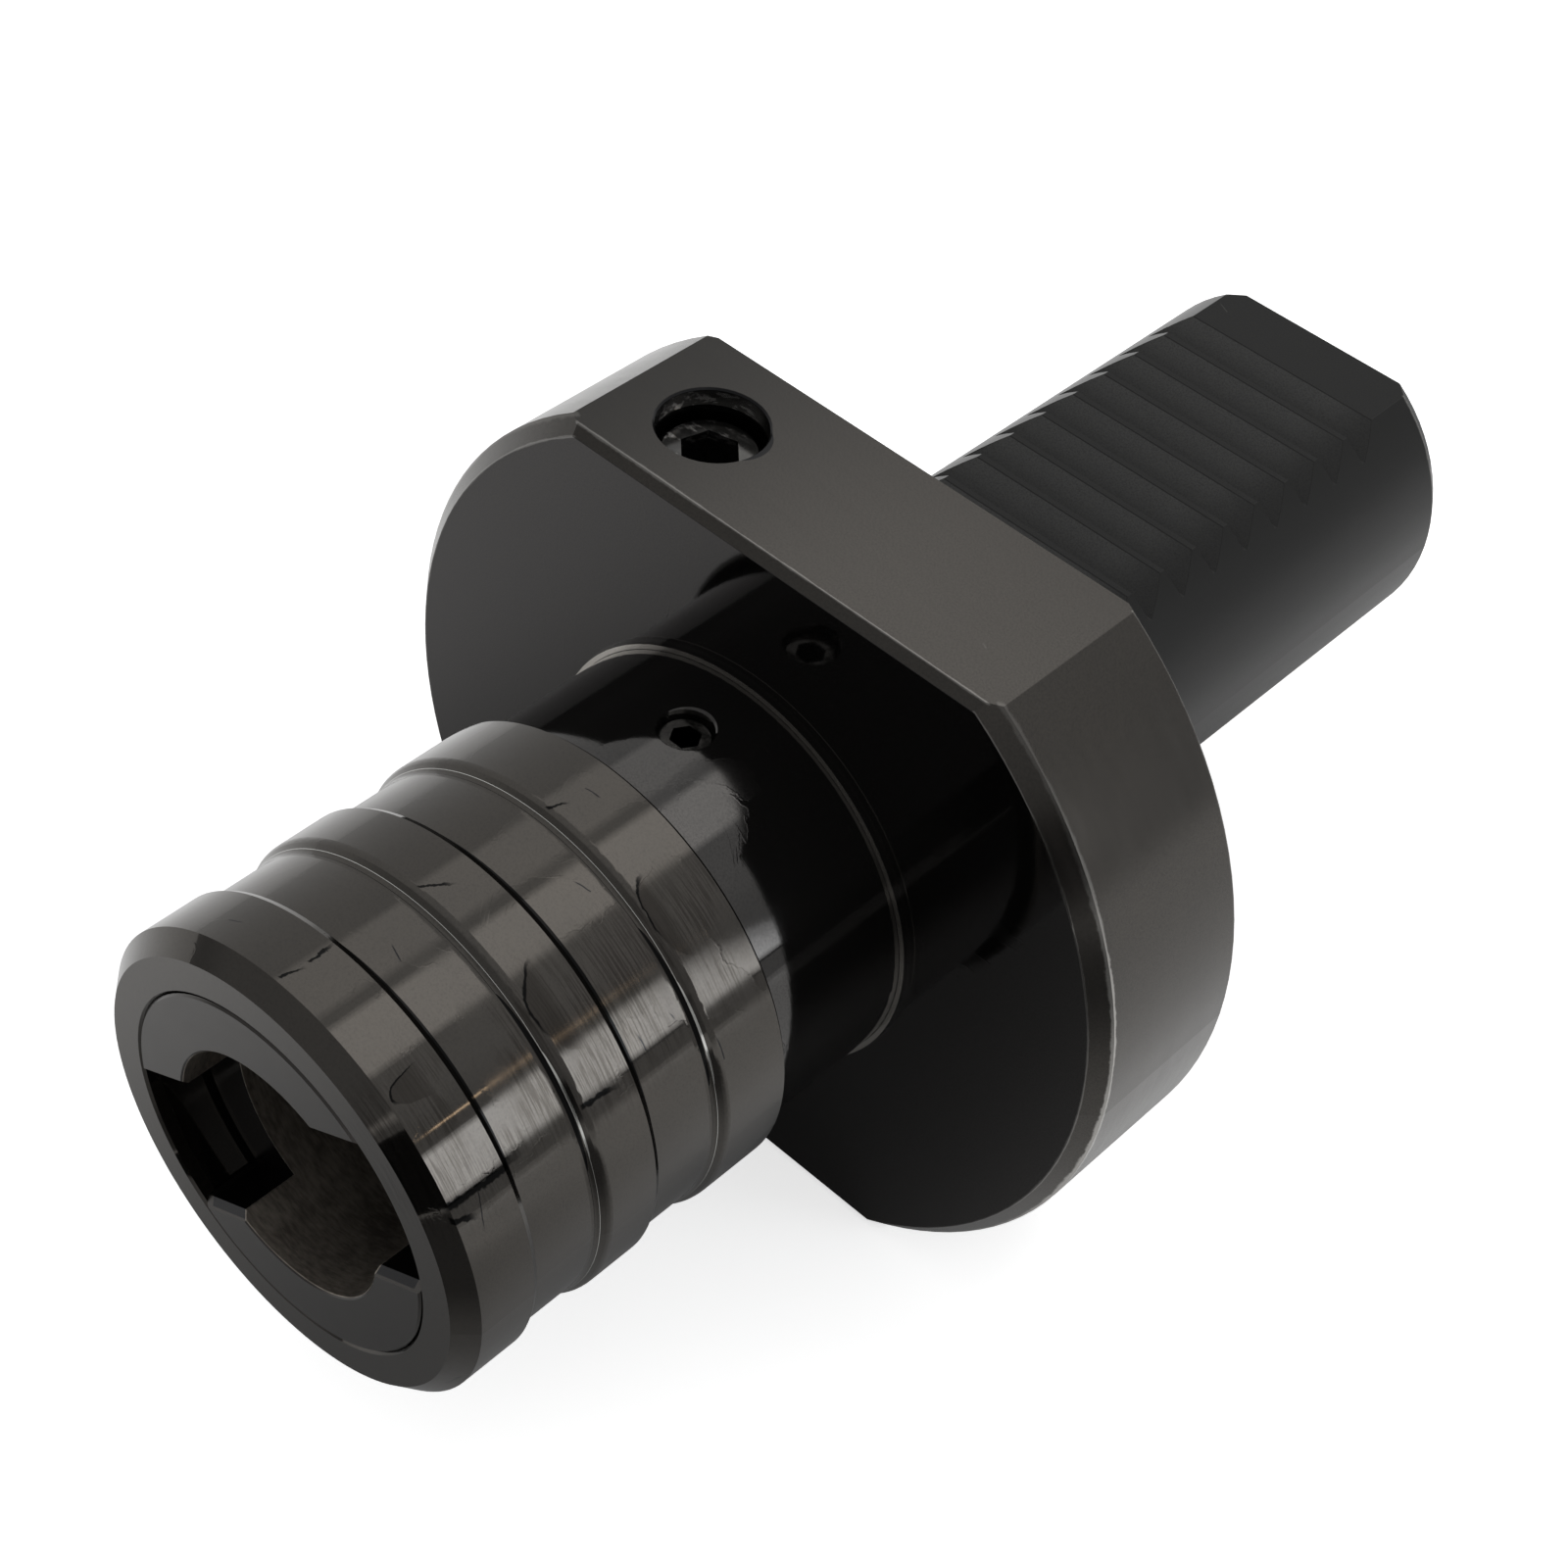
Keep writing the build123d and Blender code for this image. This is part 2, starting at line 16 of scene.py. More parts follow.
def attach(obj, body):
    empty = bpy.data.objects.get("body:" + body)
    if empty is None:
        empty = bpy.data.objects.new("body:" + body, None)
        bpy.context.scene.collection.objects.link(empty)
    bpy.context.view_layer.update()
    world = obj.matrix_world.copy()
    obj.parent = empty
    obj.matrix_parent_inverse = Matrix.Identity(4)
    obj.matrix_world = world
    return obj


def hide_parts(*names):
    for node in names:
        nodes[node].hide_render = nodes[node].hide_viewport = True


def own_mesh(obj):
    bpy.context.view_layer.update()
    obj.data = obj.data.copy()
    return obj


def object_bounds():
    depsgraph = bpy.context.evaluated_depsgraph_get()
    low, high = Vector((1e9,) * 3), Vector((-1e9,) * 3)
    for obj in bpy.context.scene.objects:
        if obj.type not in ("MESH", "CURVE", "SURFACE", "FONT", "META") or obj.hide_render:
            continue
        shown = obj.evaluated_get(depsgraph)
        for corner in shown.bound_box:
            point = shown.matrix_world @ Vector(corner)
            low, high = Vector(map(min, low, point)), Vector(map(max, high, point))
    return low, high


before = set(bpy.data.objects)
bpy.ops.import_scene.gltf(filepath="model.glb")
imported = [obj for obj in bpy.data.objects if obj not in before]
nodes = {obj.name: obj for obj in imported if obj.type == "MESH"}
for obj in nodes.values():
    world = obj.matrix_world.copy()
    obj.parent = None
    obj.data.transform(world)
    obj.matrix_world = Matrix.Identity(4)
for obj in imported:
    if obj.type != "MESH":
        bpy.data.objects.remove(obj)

cad_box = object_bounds()
MM = 0.001
MICROMETRE = 1e-6

# %% [markdown]
# ## Where the camera stands
#
# The photograph looks down on the nose from the front right. Its camera was worked back from the
# outline of the flange, the shank and the sleeve, whose sizes are known. A pinhole camera needs a place,
# a direction as azimuth and elevation, a roll, a focal length, and a small shift, because the picture
# was cropped off centre.

# %% Camera
CAMERA_AT = Vector((0.08585, -0.12415, 0.14727))
CAMERA_AZIMUTH = 39.36
CAMERA_ELEVATION = 48.51
CAMERA_ROLL = 6.35
CAMERA_LENS = 63.66
CAMERA_SHIFT = (0.066, 0.097)


def add_camera():
    """Camera that looks along its azimuth and elevation, then turned by the roll about its own axis."""
    camera = bpy.data.cameras.new("camera")
    camera.lens = CAMERA_LENS
    camera.sensor_width = 36.0
    camera.shift_x, camera.shift_y = CAMERA_SHIFT
    camera.clip_start = 0.005
    holder = bpy.data.objects.new("camera", camera)
    bpy.context.scene.collection.objects.link(holder)
    azimuth = math.radians(CAMERA_AZIMUTH)
    elevation = math.radians(CAMERA_ELEVATION)
    forward = Vector((
        -math.sin(azimuth) * math.cos(elevation),
        math.cos(azimuth) * math.cos(elevation),
        -math.sin(elevation),
    ))
    level = forward.to_track_quat("-Z", "Y").to_matrix()
    roll = Matrix.Rotation(math.radians(CAMERA_ROLL), 3, "Z")
    holder.matrix_world = Matrix.Translation(CAMERA_AT) @ (level @ roll).to_4x4()
    bpy.context.scene.camera = holder
    return holder


camera = add_camera()
print("camera at", tuple(round(c, 3) for c in camera.location))

# %% [markdown]
# ## Small helpers for node trees
#
# A material is a graph of nodes. A few helpers keep each recipe short: one adds a node and fills its
# sockets with values or links, one does a sum, one turns a distance into a soft edge, and two blend
# numbers and colours by a mask.

# %% Node helpers
def add(tree, kind, sockets=None, **settings):
    """Add one node. A socket given another node's output is linked, any other value is written into it."""
    node = tree.nodes.new(kind)
    for key, value in settings.items():
        setattr(node, key, value)
    for key, value in (sockets or {}).items():
        if isinstance(value, bpy.types.NodeSocket):
            tree.links.new(value, node.inputs[key])
        else:
            node.inputs[key].default_value = value
    return node


def calc(tree, operation, *values):
    """One Math node on its values, in their order."""
    return add(tree, "ShaderNodeMath", dict(enumerate(values)), operation=operation).outputs[0]


def length_of(tree, a, b):
    """Length of the plane vector (a, b)."""
    squares = [calc(tree, "MULTIPLY", side, side) for side in (a, b)]
    return calc(tree, "SQRT", calc(tree, "ADD", *squares))


def soft_step(tree, value, start, end):
    """Smooth rise from 0 at start to 1 at end; with start above end it falls instead."""
    sockets = {"Value": value, "From Min": start, "From Max": end}
    return add(tree, "ShaderNodeMapRange", sockets, interpolation_type="SMOOTHSTEP").outputs["Result"]


def pick(tree, mask, low, high):
    """Number that goes from low to high as the mask goes from 0 to 1."""
    return add(tree, "ShaderNodeMix", {0: mask, 2: low, 3: high}, data_type="FLOAT").outputs[0]


def tint(tree, mask, low, high):
    """Colour that goes from low to high as the mask goes from 0 to 1."""
    low, high = [c if isinstance(c, bpy.types.NodeSocket) else (*c, 1) for c in (low, high)]
    return add(tree, "ShaderNodeMix", {0: mask, 6: low, 7: high}, data_type="RGBA").outputs[2]


# %% [markdown]
# ## Floor and light
#
# The holder lies on a white table in a white room. Black steel shows little colour of its own: what the
# eye reads is the room in its gloss. The lamps therefore matter for where their images fall: two wide
# softboxes overhead, a little behind, and a narrower one low on the right. A black batten under the low
# one draws the fine dark line beside the sleeve's lowest bright band. The side of the room where the
# photographer stands is darker, and so is the table there: with a black card before the nose it makes the
# sleeve's front chamfer dark.

# %% World
WORLD_SEEN = 1.0
WORLD_LIGHT = 0.62
ROOM_MIRRORED = 0.80
RIGHT_WALL_MIRRORED = 0.58
FRONT_MIRRORED = 0.45
FRONT_LOW_MIRRORED = 0.28
# Each pair: the part of the direction (right, back or up) where a side of the room starts, and is full.
RIGHT_WALL_FROM = (0.50, 0.80)
FRONT_FROM = (-0.20, -0.50)
FRONT_HIGH_FROM = (0.0, 0.25)


def white_room():
    """World that the camera sees full white, and gloss sees as a room with a darker right wall and front."""
    world = bpy.data.worlds.new("white room")
    bpy.context.scene.world = world
    world.use_nodes = True
    tree = world.node_tree
    tree.nodes.clear()
    path = add(tree, "ShaderNodeLightPath").outputs
    direction = add(tree, "ShaderNodeTexCoord").outputs["Generated"]
    right, back, up = add(tree, "ShaderNodeSeparateXYZ", {0: direction}).outputs
    right_wall = soft_step(tree, right, *RIGHT_WALL_FROM)
    mirrored = pick(tree, right_wall, ROOM_MIRRORED, RIGHT_WALL_MIRRORED)
    front = pick(tree, soft_step(tree, up, *FRONT_HIGH_FROM), FRONT_LOW_MIRRORED, FRONT_MIRRORED)
    mirrored = pick(tree, soft_step(tree, back, *FRONT_FROM), mirrored, front)
    strength = pick(tree, path["Is Glossy Ray"], WORLD_LIGHT, mirrored)
    seen = calc(tree, "MAXIMUM", path["Is Camera Ray"], path["Is Transmission Ray"])
    strength = pick(tree, seen, strength, WORLD_SEEN)
    sky = add(tree, "ShaderNodeBackground", {"Color": (1, 1, 1, 1), "Strength": strength})
    add(tree, "ShaderNodeOutputWorld", {"Surface": sky.outputs[0]})


white_room()
print("world seen at", WORLD_SEEN, "and lighting at", WORLD_LIGHT)

# %% Floor
FLOOR_SIZE = 3.0
FLOOR_LIFT_SEEN = 0.62
FLOOR_LIFT_MIRRORED = 0.34
FLOOR_WHITE = 0.93
FLOOR_SHADE = 0.40
FRONT_SHADE = 0.20
FRONT_SHADE_AT = (0.115, -0.165, 0.0)
# Each pair: the distance in metres where the effect starts, and where it is full.
FRONT_SHADE_REACH = (0.18, 0.10)
CONTACT_SHADE_REACH = (0.060, 0.018)
LIFT_REACH = (0.030, 0.080)
# The shade beneath the holder is an ellipse along it, drawn narrower on the right.
SHADE_SQUEEZE_RIGHT = 1.5
SHADE_SQUEEZE_ALONG = 0.5


def add_floor():
    """White table top at the lowest point. It is lifted to white for the camera. In gloss it is lifted away
    from the holder and shaded beneath it, so the steel mirrors a white table with a deep contact shadow."""
    low = cad_box[0].z
    h = FLOOR_SIZE / 2
    mesh = bpy.data.meshes.new("floor")
    mesh.from_pydata([(-h, -h, low), (h, -h, low), (h, h, low), (-h, h, low)], [], [(0, 1, 2, 3)])
    floor = bpy.data.objects.new("floor", mesh)
    bpy.context.scene.collection.objects.link(floor)
    material = bpy.data.materials.new("white table")
    material.use_nodes = True
    tree = material.node_tree
    shader = tree.nodes["Principled BSDF"]
    shader.inputs["Roughness"].default_value = 0.9
    shader.inputs["Specular IOR Level"].default_value = 0.0
    shader.inputs["Emission Color"].default_value = (1, 1, 1, 1)
    path = add(tree, "ShaderNodeLightPath").outputs
    point = add(tree, "ShaderNodeTexCoord").outputs["Object"]
    x, y, _ = add(tree, "ShaderNodeSeparateXYZ", {0: point}).outputs
    squeezed = calc(tree, "MULTIPLY", x, SHADE_SQUEEZE_RIGHT)
    wide = pick(tree, calc(tree, "GREATER_THAN", x, 0.0), x, squeezed)
    away = length_of(tree, wide, calc(tree, "MULTIPLY", y, SHADE_SQUEEZE_ALONG))
    ends = {0: point, 1: FRONT_SHADE_AT}
    gap = add(tree, "ShaderNodeVectorMath", ends, operation="DISTANCE").outputs["Value"]
    gloss = path["Is Glossy Ray"]
    front = calc(tree, "MULTIPLY", soft_step(tree, gap, *FRONT_SHADE_REACH), gloss)
    shade = calc(tree, "MULTIPLY", soft_step(tree, away, *CONTACT_SHADE_REACH), gloss)
    color = tint(tree, shade, (FLOOR_WHITE,) * 3, (FLOOR_SHADE,) * 3)
    tree.links.new(tint(tree, front, color, (FRONT_SHADE,) * 3), shader.inputs["Base Color"])
    in_gloss = calc(tree, "MULTIPLY", soft_step(tree, away, *LIFT_REACH), FLOOR_LIFT_MIRRORED)
    in_gloss = calc(tree, "MULTIPLY", in_gloss, calc(tree, "SUBTRACT", gloss, front))
    lift = calc(tree, "ADD", calc(tree, "MULTIPLY", path["Is Camera Ray"], FLOOR_LIFT_SEEN), in_gloss)
    tree.links.new(lift, shader.inputs["Emission Strength"])
    mesh.materials.append(material)


add_floor()
print("floor at", round(cad_box[0].z, 4))

# %% Lamps
DOWN = (0, 0, -1)
# Each softbox: centre, the way it faces, width and height of its face, radiance and colour.
SOFTBOXES = {
    "overhead left softbox": ((-0.315, 0.38, 0.62), DOWN, (0.39, 0.56), 0.56, (1.0, 0.98, 0.96)),
    "overhead right softbox": ((0.082, 0.38, 0.62), DOWN, (0.31, 0.56), 1.30, (1.0, 0.98, 0.96)),
    "low right softbox": ((0.62, 0.25, 0.25), (-1, 0, 0), (0.28, 0.30), 4.3, (0.94, 0.97, 1.0)),
    "warm strip": ((0.45, 0.235, 0.36), (-1, 0, -0.9), (0.08, 0.008), 7.0, (1.0, 0.74, 0.48)),
    "front window": ((0.185, -0.49, 0.21), (-0.343, 0.856, -0.38), (0.11, 0.12), 0.9, (1.0, 0.98, 0.96)),
}
SOFT_LAYERS = (1.0, 0.91, 0.82)
LAYER_GAP = 0.004
# Each card: centre, the way it faces, width and height.
BLACK_CARDS = {
    "batten under the low lamp": ((0.615, 0.25, 0.094), (-1, 0, 0), (0.28, 0.010)),
    "card before the nose": ((0.21, -0.30, 0.03), (-0.6, 0.8, 0), (0.22, 0.135)),
}


def place(name, data, centre, facing):
    """Object of the data at the centre, its -Z axis turned the way it faces. The camera doesn't see it."""
    holder = bpy.data.objects.new(name, data)
    bpy.context.scene.collection.objects.link(holder)
    turn = Matrix.Identity(3) if facing == DOWN else look_matrix(facing)
    holder.matrix_world = Matrix.Translation(Vector(centre)) @ turn.to_4x4()
    holder.visible_camera = False
    return holder


def look_matrix(facing):
    """Rotation whose -Z axis faces that way while its X axis stays level."""
    back = -Vector(facing).normalized()
    side = Vector((0, 0, 1)).cross(back).normalized()
    return Matrix((side, back.cross(side), back)).transposed()


def add_softbox(name, centre, facing, size, radiance, color):
    """Rectangular lamp with soft edges: nested layers share its radiance. Power = radiance * pi * area."""
    for layer, share in enumerate(SOFT_LAYERS):
        light = bpy.data.lights.new(name, "AREA")
        light.shape = "RECTANGLE"
        light.size, light.size_y = size[0] * share, size[1] * share
        light.color = color
        light.energy = radiance / len(SOFT_LAYERS) * math.pi * light.size * light.size_y
        back = LAYER_GAP * layer / Vector(facing).length
        place(name, light, Vector(centre) - back * Vector(facing), facing)


def black_cloth():
    """Cloth that sends back almost nothing."""
    material = bpy.data.materials.new("black cloth")
    material.use_nodes = True
    shader = material.node_tree.nodes["Principled BSDF"]
    shader.inputs["Base Color"].default_value = (0.02, 0.02, 0.02, 1)
    shader.inputs["Specular IOR Level"].default_value = 0.0
    return material


def add_black_card(name, cloth, centre, facing, size):
    """Flat card that only gloss sees: it casts no shadow and takes no light away."""
    w, h = size[0] / 2, size[1] / 2
    mesh = bpy.data.meshes.new(name)
    mesh.from_pydata([(-w, -h, 0), (w, -h, 0), (w, h, 0), (-w, h, 0)], [], [(0, 1, 2, 3)])
    card = place(name, mesh, centre, facing)
    mesh.materials.append(cloth)
    card.visible_shadow = card.visible_diffuse = False


for name, values in SOFTBOXES.items():
    add_softbox(name, *values)
cloth = black_cloth()
for name, values in BLACK_CARDS.items():
    add_black_card(name, cloth, *values)
print("lamps:", ", ".join(SOFTBOXES))

# %% [markdown]
# ## How steel is marked
#
# A turned surface carries fine rings round its axis, a ground one carries straight scratches, and both
# wander a little. Each lay is noise that is stretched: many steps across the lay, few along it. On turned
# pieces the noise is read at the radius and the station, with the angle as a slow third and fourth axis,
# so it closes on itself with no seam. Kept as a shader group, one lay serves every steel piece.

# %% Group helpers
def start_group(name, inputs, outputs):
    """Empty shader group. An input is a vector where its default is None, and a number otherwise."""
    group = bpy.data.node_groups.new(name, "ShaderNodeTree")
    for label, default in inputs.items():
        kind = "NodeSocketVector" if default is None else "NodeSocketFloat"
        socket = group.interface.new_socket(label, in_out="INPUT", socket_type=kind)
        if default is not None:
            socket.default_value = default
    for label in outputs:
        group.interface.new_socket(label, in_out="OUTPUT", socket_type="NodeSocketFloat")
    return group, add(group, "NodeGroupInput").outputs


def split_point(tree, point):
    """x, y, z and the distance from the holder's axis, all in millimetres."""
    big = add(tree, "ShaderNodeVectorMath", {0: point, "Scale": 1 / MM}, operation="SCALE").outputs[0]
    x, y, z = add(tree, "ShaderNodeSeparateXYZ", {0: big}).outputs
    return x, y, z, length_of(tree, x, z)


def angle_about_axis(tree, x, z):
    """Angle about the holder's axis in degrees: 0 on the right (+X), 90 on top (+Z)."""
    return calc(tree, "MULTIPLY", calc(tree, "ARCTAN2", z, x), 180.0 / math.pi)


def centred(tree, value, size):
    """Noise value moved to swing about 0, times a size."""
    return calc(tree, "MULTIPLY", calc(tree, "SUBTRACT", value, 0.5), size)


def use(tree, group, sockets):
    """Outputs of one group node with its sockets filled."""
    return add(tree, "ShaderNodeGroup", sockets, node_tree=group).outputs


def noise(tree, vector, scale=1.0, detail=2.0, roughness=0.5, distortion=0.0, turn=None):
    """Value of one Noise texture, four-dimensional where a turn is given."""
    sockets = {"Vector": vector, "Scale": scale, "Detail": detail, "Roughness": roughness}
    sockets["Distortion"] = distortion
    if turn is None:
        return add(tree, "ShaderNodeTexNoise", sockets).outputs["Fac"]
    return add(tree, "ShaderNodeTexNoise", {**sockets, "W": turn}, noise_dimensions="4D").outputs["Fac"]


# %% Turned lay
def make_turned_lay():
    """Rings about the axis: noise at (radius / pitch, station / pitch, waver cos, waver sin)."""
    group, given = start_group("turned lay", {"Point": None, "Pitch": 0.12, "Waver": 4.5}, ("Height", "Band"))
    x, y, z, r = split_point(group, given["Point"])
    turns = [calc(group, "MULTIPLY", calc(group, "DIVIDE", axis, r), given["Waver"]) for axis in (x, z)]
    results = {}
    for label, coarseness, detail in (("Height", 1.0, 3.0), ("Band", 11.0, 2.0)):
        pitch = calc(group, "MULTIPLY", given["Pitch"], coarseness)
        across = [calc(group, "DIVIDE", axis, pitch) for axis in (r, y)]
        vector = add(group, "ShaderNodeCombineXYZ", {0: across[0], 1: across[1], 2: turns[0]}).outputs[0]
        results[label] = noise(group, vector, detail=detail, roughness=0.6, turn=turns[1])
    add(group, "NodeGroupOutput", results)
    return group


turned_lay = make_turned_lay()
print("group:", turned_lay.name)


# %% Ground lay
def make_ground_lay():
    """Straight scratches along X: noise at (x / length, y / pitch, z / pitch)."""
    group, given = start_group("ground lay", {"Point": None, "Pitch": 0.1, "Length": 6.0}, ("Height", "Band"))
    x, y, z, _ = split_point(group, given["Point"])
    results = {}
    for label, coarseness in (("Height", 1.0), ("Band", 9.0)):
        pitch = calc(group, "MULTIPLY", given["Pitch"], coarseness)
        along = calc(group, "DIVIDE", x, given["Length"])
        parts = {0: along, 1: calc(group, "DIVIDE", y, pitch), 2: calc(group, "DIVIDE", z, pitch)}
        vector = add(group, "ShaderNodeCombineXYZ", parts).outputs[0]
        results[label] = noise(group, vector, detail=3.0, roughness=0.6)
    add(group, "NodeGroupOutput", results)
    return group


ground_lay = make_ground_lay()
print("group:", ground_lay.name)

# %% [markdown]
# ## Oxide, oil and handling
#
# Blackened steel isn't even: the oxide is a fine crystal skin with faint cloudy patches, and the oil on it
# pools and ends in crisp irregular edges. The oil group cuts a cloud noise at one level, so its film has a
# sharp border, and gives the border itself as a thin line, where real oil stands up and catches light.
# Four more groups put down sparse short nicks, the bare metal of worn edges, thumb-wide smears and thin
# dried runs.

# %% Oil film
def make_oil_film():
    """Film where a cloud noise is below its level, and its rim."""
    inputs = {"Point": None, "Size": 6.0, "Level": 0.5, "Edge": 0.012}
    group, given = start_group("oil film", inputs, ("Film", "Rim"))
    scale = calc(group, "DIVIDE", 1 / MM, given["Size"])
    cloud = noise(group, given["Point"], scale, detail=6.0, roughness=0.52, distortion=0.5)
    gap = calc(group, "DIVIDE", calc(group, "SUBTRACT", given["Level"], cloud), given["Edge"])
    film = soft_step(group, gap, -0.5, 0.5)
    rim = soft_step(group, calc(group, "ABSOLUTE", gap), 1.0, 0.2)
    add(group, "NodeGroupOutput", {"Film": film, "Rim": rim})
    return group


oil_film = make_oil_film()
print("group:", oil_film.name)


# %% Handling nicks
def make_nicks():
    """Sparse short dashes: in a few cells, the points near the cell's centre line."""
    inputs = {"Point": None, "Size": 3.0, "Amount": 0.1, "Length": 0.8}
    group, given = start_group("handling nicks", inputs, ("Nick",))
    scale = calc(group, "DIVIDE", 1 / MM, given["Size"])
    bend = noise(group, given["Point"], 900.0, detail=3.0)
    cells = add(group, "ShaderNodeTexVoronoi", {"Vector": given["Point"], "Scale": scale})
    ends = {0: given["Point"], 1: cells.outputs["Position"]}
    gap = add(group, "ShaderNodeVectorMath", ends, operation="SUBTRACT").outputs[0]
    x, y, _, _ = split_point(group, gap)
    chance = add(group, "ShaderNodeSeparateColor", {0: cells.outputs["Color"]}).outputs
    kept = calc(group, "LESS_THAN", chance[1], given["Amount"])
    lean = centred(group, chance[0], x)
    across = calc(group, "ADD", calc(group, "ADD", y, lean), centred(group, bend, 0.3))
    thin = soft_step(group, calc(group, "ABSOLUTE", across), 0.07, 0.03)
    half = calc(group, "MULTIPLY", given["Length"], 0.5)
    short = soft_step(group, calc(group, "ABSOLUTE", x), given["Length"], half)
    nick = calc(group, "MULTIPLY", thin, calc(group, "MULTIPLY", short, kept))
    add(group, "NodeGroupOutput", {"Nick": nick})
    return group


nicks = make_nicks()
print("group:", nicks.name)


# %% Worn edges
def make_worn_edge():
    """Wear within a width of an edge, ragged: the width is scaled by a fine noise along the edge."""
    inputs = {"Point": None, "Distance": 1.0, "Width": 0.1}
    group, given = start_group("worn edge", inputs, ("Wear",))
    rag = noise(group, given["Point"], 900.0, detail=4.0, roughness=0.7)
    patch = noise(group, given["Point"], 130.0, detail=2.0)
    ragged = calc(group, "MULTIPLY", rag, calc(group, "MULTIPLY", patch, 4.0))
    width = calc(group, "MULTIPLY", given["Width"], ragged)
    wear = soft_step(group, calc(group, "DIVIDE", given["Distance"], width), 1.0, 0.4)
    add(group, "NodeGroupOutput", {"Wear": wear})
    return group


worn_edge = make_worn_edge()
print("group:", worn_edge.name)


# %% Oil smears
def make_oil_smear():
    """Thumb-wide smear on a cylinder: the front half of an ellipse, where the length of (arc / half width,
    (station - tip) / length - 1) is under 1. It fades out backwards and has a thin dark outline."""
    inputs = {"Point": None, "Angle": 57.0, "Tip": -56.0, "Half Width": 2.0, "Length": 4.0}
    group, given = start_group("oil smear", inputs, ("Patch", "Outline"))
    x, y, z, r = split_point(group, given["Point"])
    angle = angle_about_axis(group, x, z)
    turn = calc(group, "MULTIPLY", calc(group, "SUBTRACT", angle, given["Angle"]), math.pi / 180.0)
    arc = calc(group, "DIVIDE", calc(group, "MULTIPLY", turn, r), given["Half Width"])
    back = calc(group, "DIVIDE", calc(group, "SUBTRACT", y, given["Tip"]), given["Length"])
    short = calc(group, "SUBTRACT", back, 1.0)
    rag = noise(group, given["Point"], 380.0, detail=4.0, roughness=0.55)
    q = calc(group, "ADD", length_of(group, arc, short), centred(group, rag, 0.55))
    fade = soft_step(group, back, 1.05, 0.55)
    patch = calc(group, "MULTIPLY", soft_step(group, q, 1.0, 0.95), fade)
    line = soft_step(group, calc(group, "ABSOLUTE", calc(group, "SUBTRACT", q, 0.98)), 0.055, 0.02)
    left = soft_step(group, arc, -0.45, 0.0)
    outline = calc(group, "MULTIPLY", calc(group, "MULTIPLY", line, left), fade)
    add(group, "NodeGroupOutput", {"Patch": patch, "Outline": outline})
    return group


oil_smear = make_oil_smear()
print("group:", oil_smear.name)


# %% Dried oil runs
def make_oil_run():
    """Thin dark line along a cylinder from a station backwards: within a width of an angle that leans with
    the station and wanders with a fine noise."""
    inputs = {"Point": None, "Angle": 92.0, "Start": -56.0, "Lean": -2.0, "Length": 2.0, "Width": 0.12}
    group, given = start_group("oil run", inputs, ("Line",))
    x, y, z, r = split_point(group, given["Point"])
    angle = angle_about_axis(group, x, z)
    along = calc(group, "DIVIDE", calc(group, "SUBTRACT", y, given["Start"]), given["Length"])
    rag = noise(group, given["Point"], 1100.0, detail=3.0, roughness=0.6)
    lean = calc(group, "MULTIPLY", given["Lean"], along)
    middle = calc(group, "ADD", calc(group, "ADD", given["Angle"], lean), centred(group, rag, 2.6))
    turn = calc(group, "MULTIPLY", calc(group, "SUBTRACT", angle, middle), math.pi / 180.0)
    gap = calc(group, "DIVIDE", calc(group, "ABSOLUTE", calc(group, "MULTIPLY", turn, r)), given["Width"])
    ends = calc(group, "MULTIPLY", soft_step(group, along, 0.0, 0.06), soft_step(group, along, 1.0, 0.6))
    line = calc(group, "MULTIPLY", soft_step(group, gap, 1.3, 0.7), ends)
    add(group, "NodeGroupOutput", {"Line": line})
    return group


oil_run = make_oil_run()
print("group:", oil_run.name)

# %% [markdown]
# ## Where a finish ends
#
# One turned piece carries several finishes: the flange's flats are ground, its rim is turned, the neck is
# polished. The borders are known from the drawing, so a mask is simply a test on radius and station, and
# the distance to an edge is the distance from the point (radius, station) to the edge's own radius and
# station. Nothing is painted by hand.

# %% Drawing masks
def below(tree, value, limit):
    """1 where the value is below the limit."""
    return calc(tree, "LESS_THAN", value, limit)


def above(tree, value, limit):
    """1 where the value is above the limit."""
    return calc(tree, "GREATER_THAN", value, limit)


def between(tree, value, low, high):
    """1 where the value is above the low limit and below the high one."""
    return calc(tree, "MULTIPLY", above(tree, value, low), below(tree, value, high))


def both(tree, *masks):
    """Product of masks: 1 where all are 1."""
    result = masks[0]
    for mask in masks[1:]:
        result = calc(tree, "MULTIPLY", result, mask)
    return result


def edge_distance(tree, u, v, edges):
    """Distance in the (u, v) plane to the nearest of several edges, each a (u, v) pair in millimetres."""
    nearest = None
    for u0, v0 in edges:
        du = calc(tree, "SUBTRACT", u, u0)
        dv = calc(tree, "SUBTRACT", v, v0)
        gap = length_of(tree, du, dv)
        nearest = gap if nearest is None else calc(tree, "MINIMUM", nearest, gap)
    return nearest


def add_heights(tree, *parts):
    """Sum of heights, each a (value, micrometres) pair."""
    total = None
    for value, size in parts:
        scaled = calc(tree, "MULTIPLY", value, size)
        total = scaled if total is None else calc(tree, "ADD", total, scaled)
    return total


def start_steel(name):
    """New material with its tree, shader, Object point and the split point."""
    material = bpy.data.materials.new(name)
    material.use_nodes = True
    tree = material.node_tree
    shader = tree.nodes["Principled BSDF"]
    shader.inputs["Metallic"].default_value = 0.96
    point = add(tree, "ShaderNodeTexCoord").outputs["Object"]
    return material, tree, shader, point, split_point(tree, point)


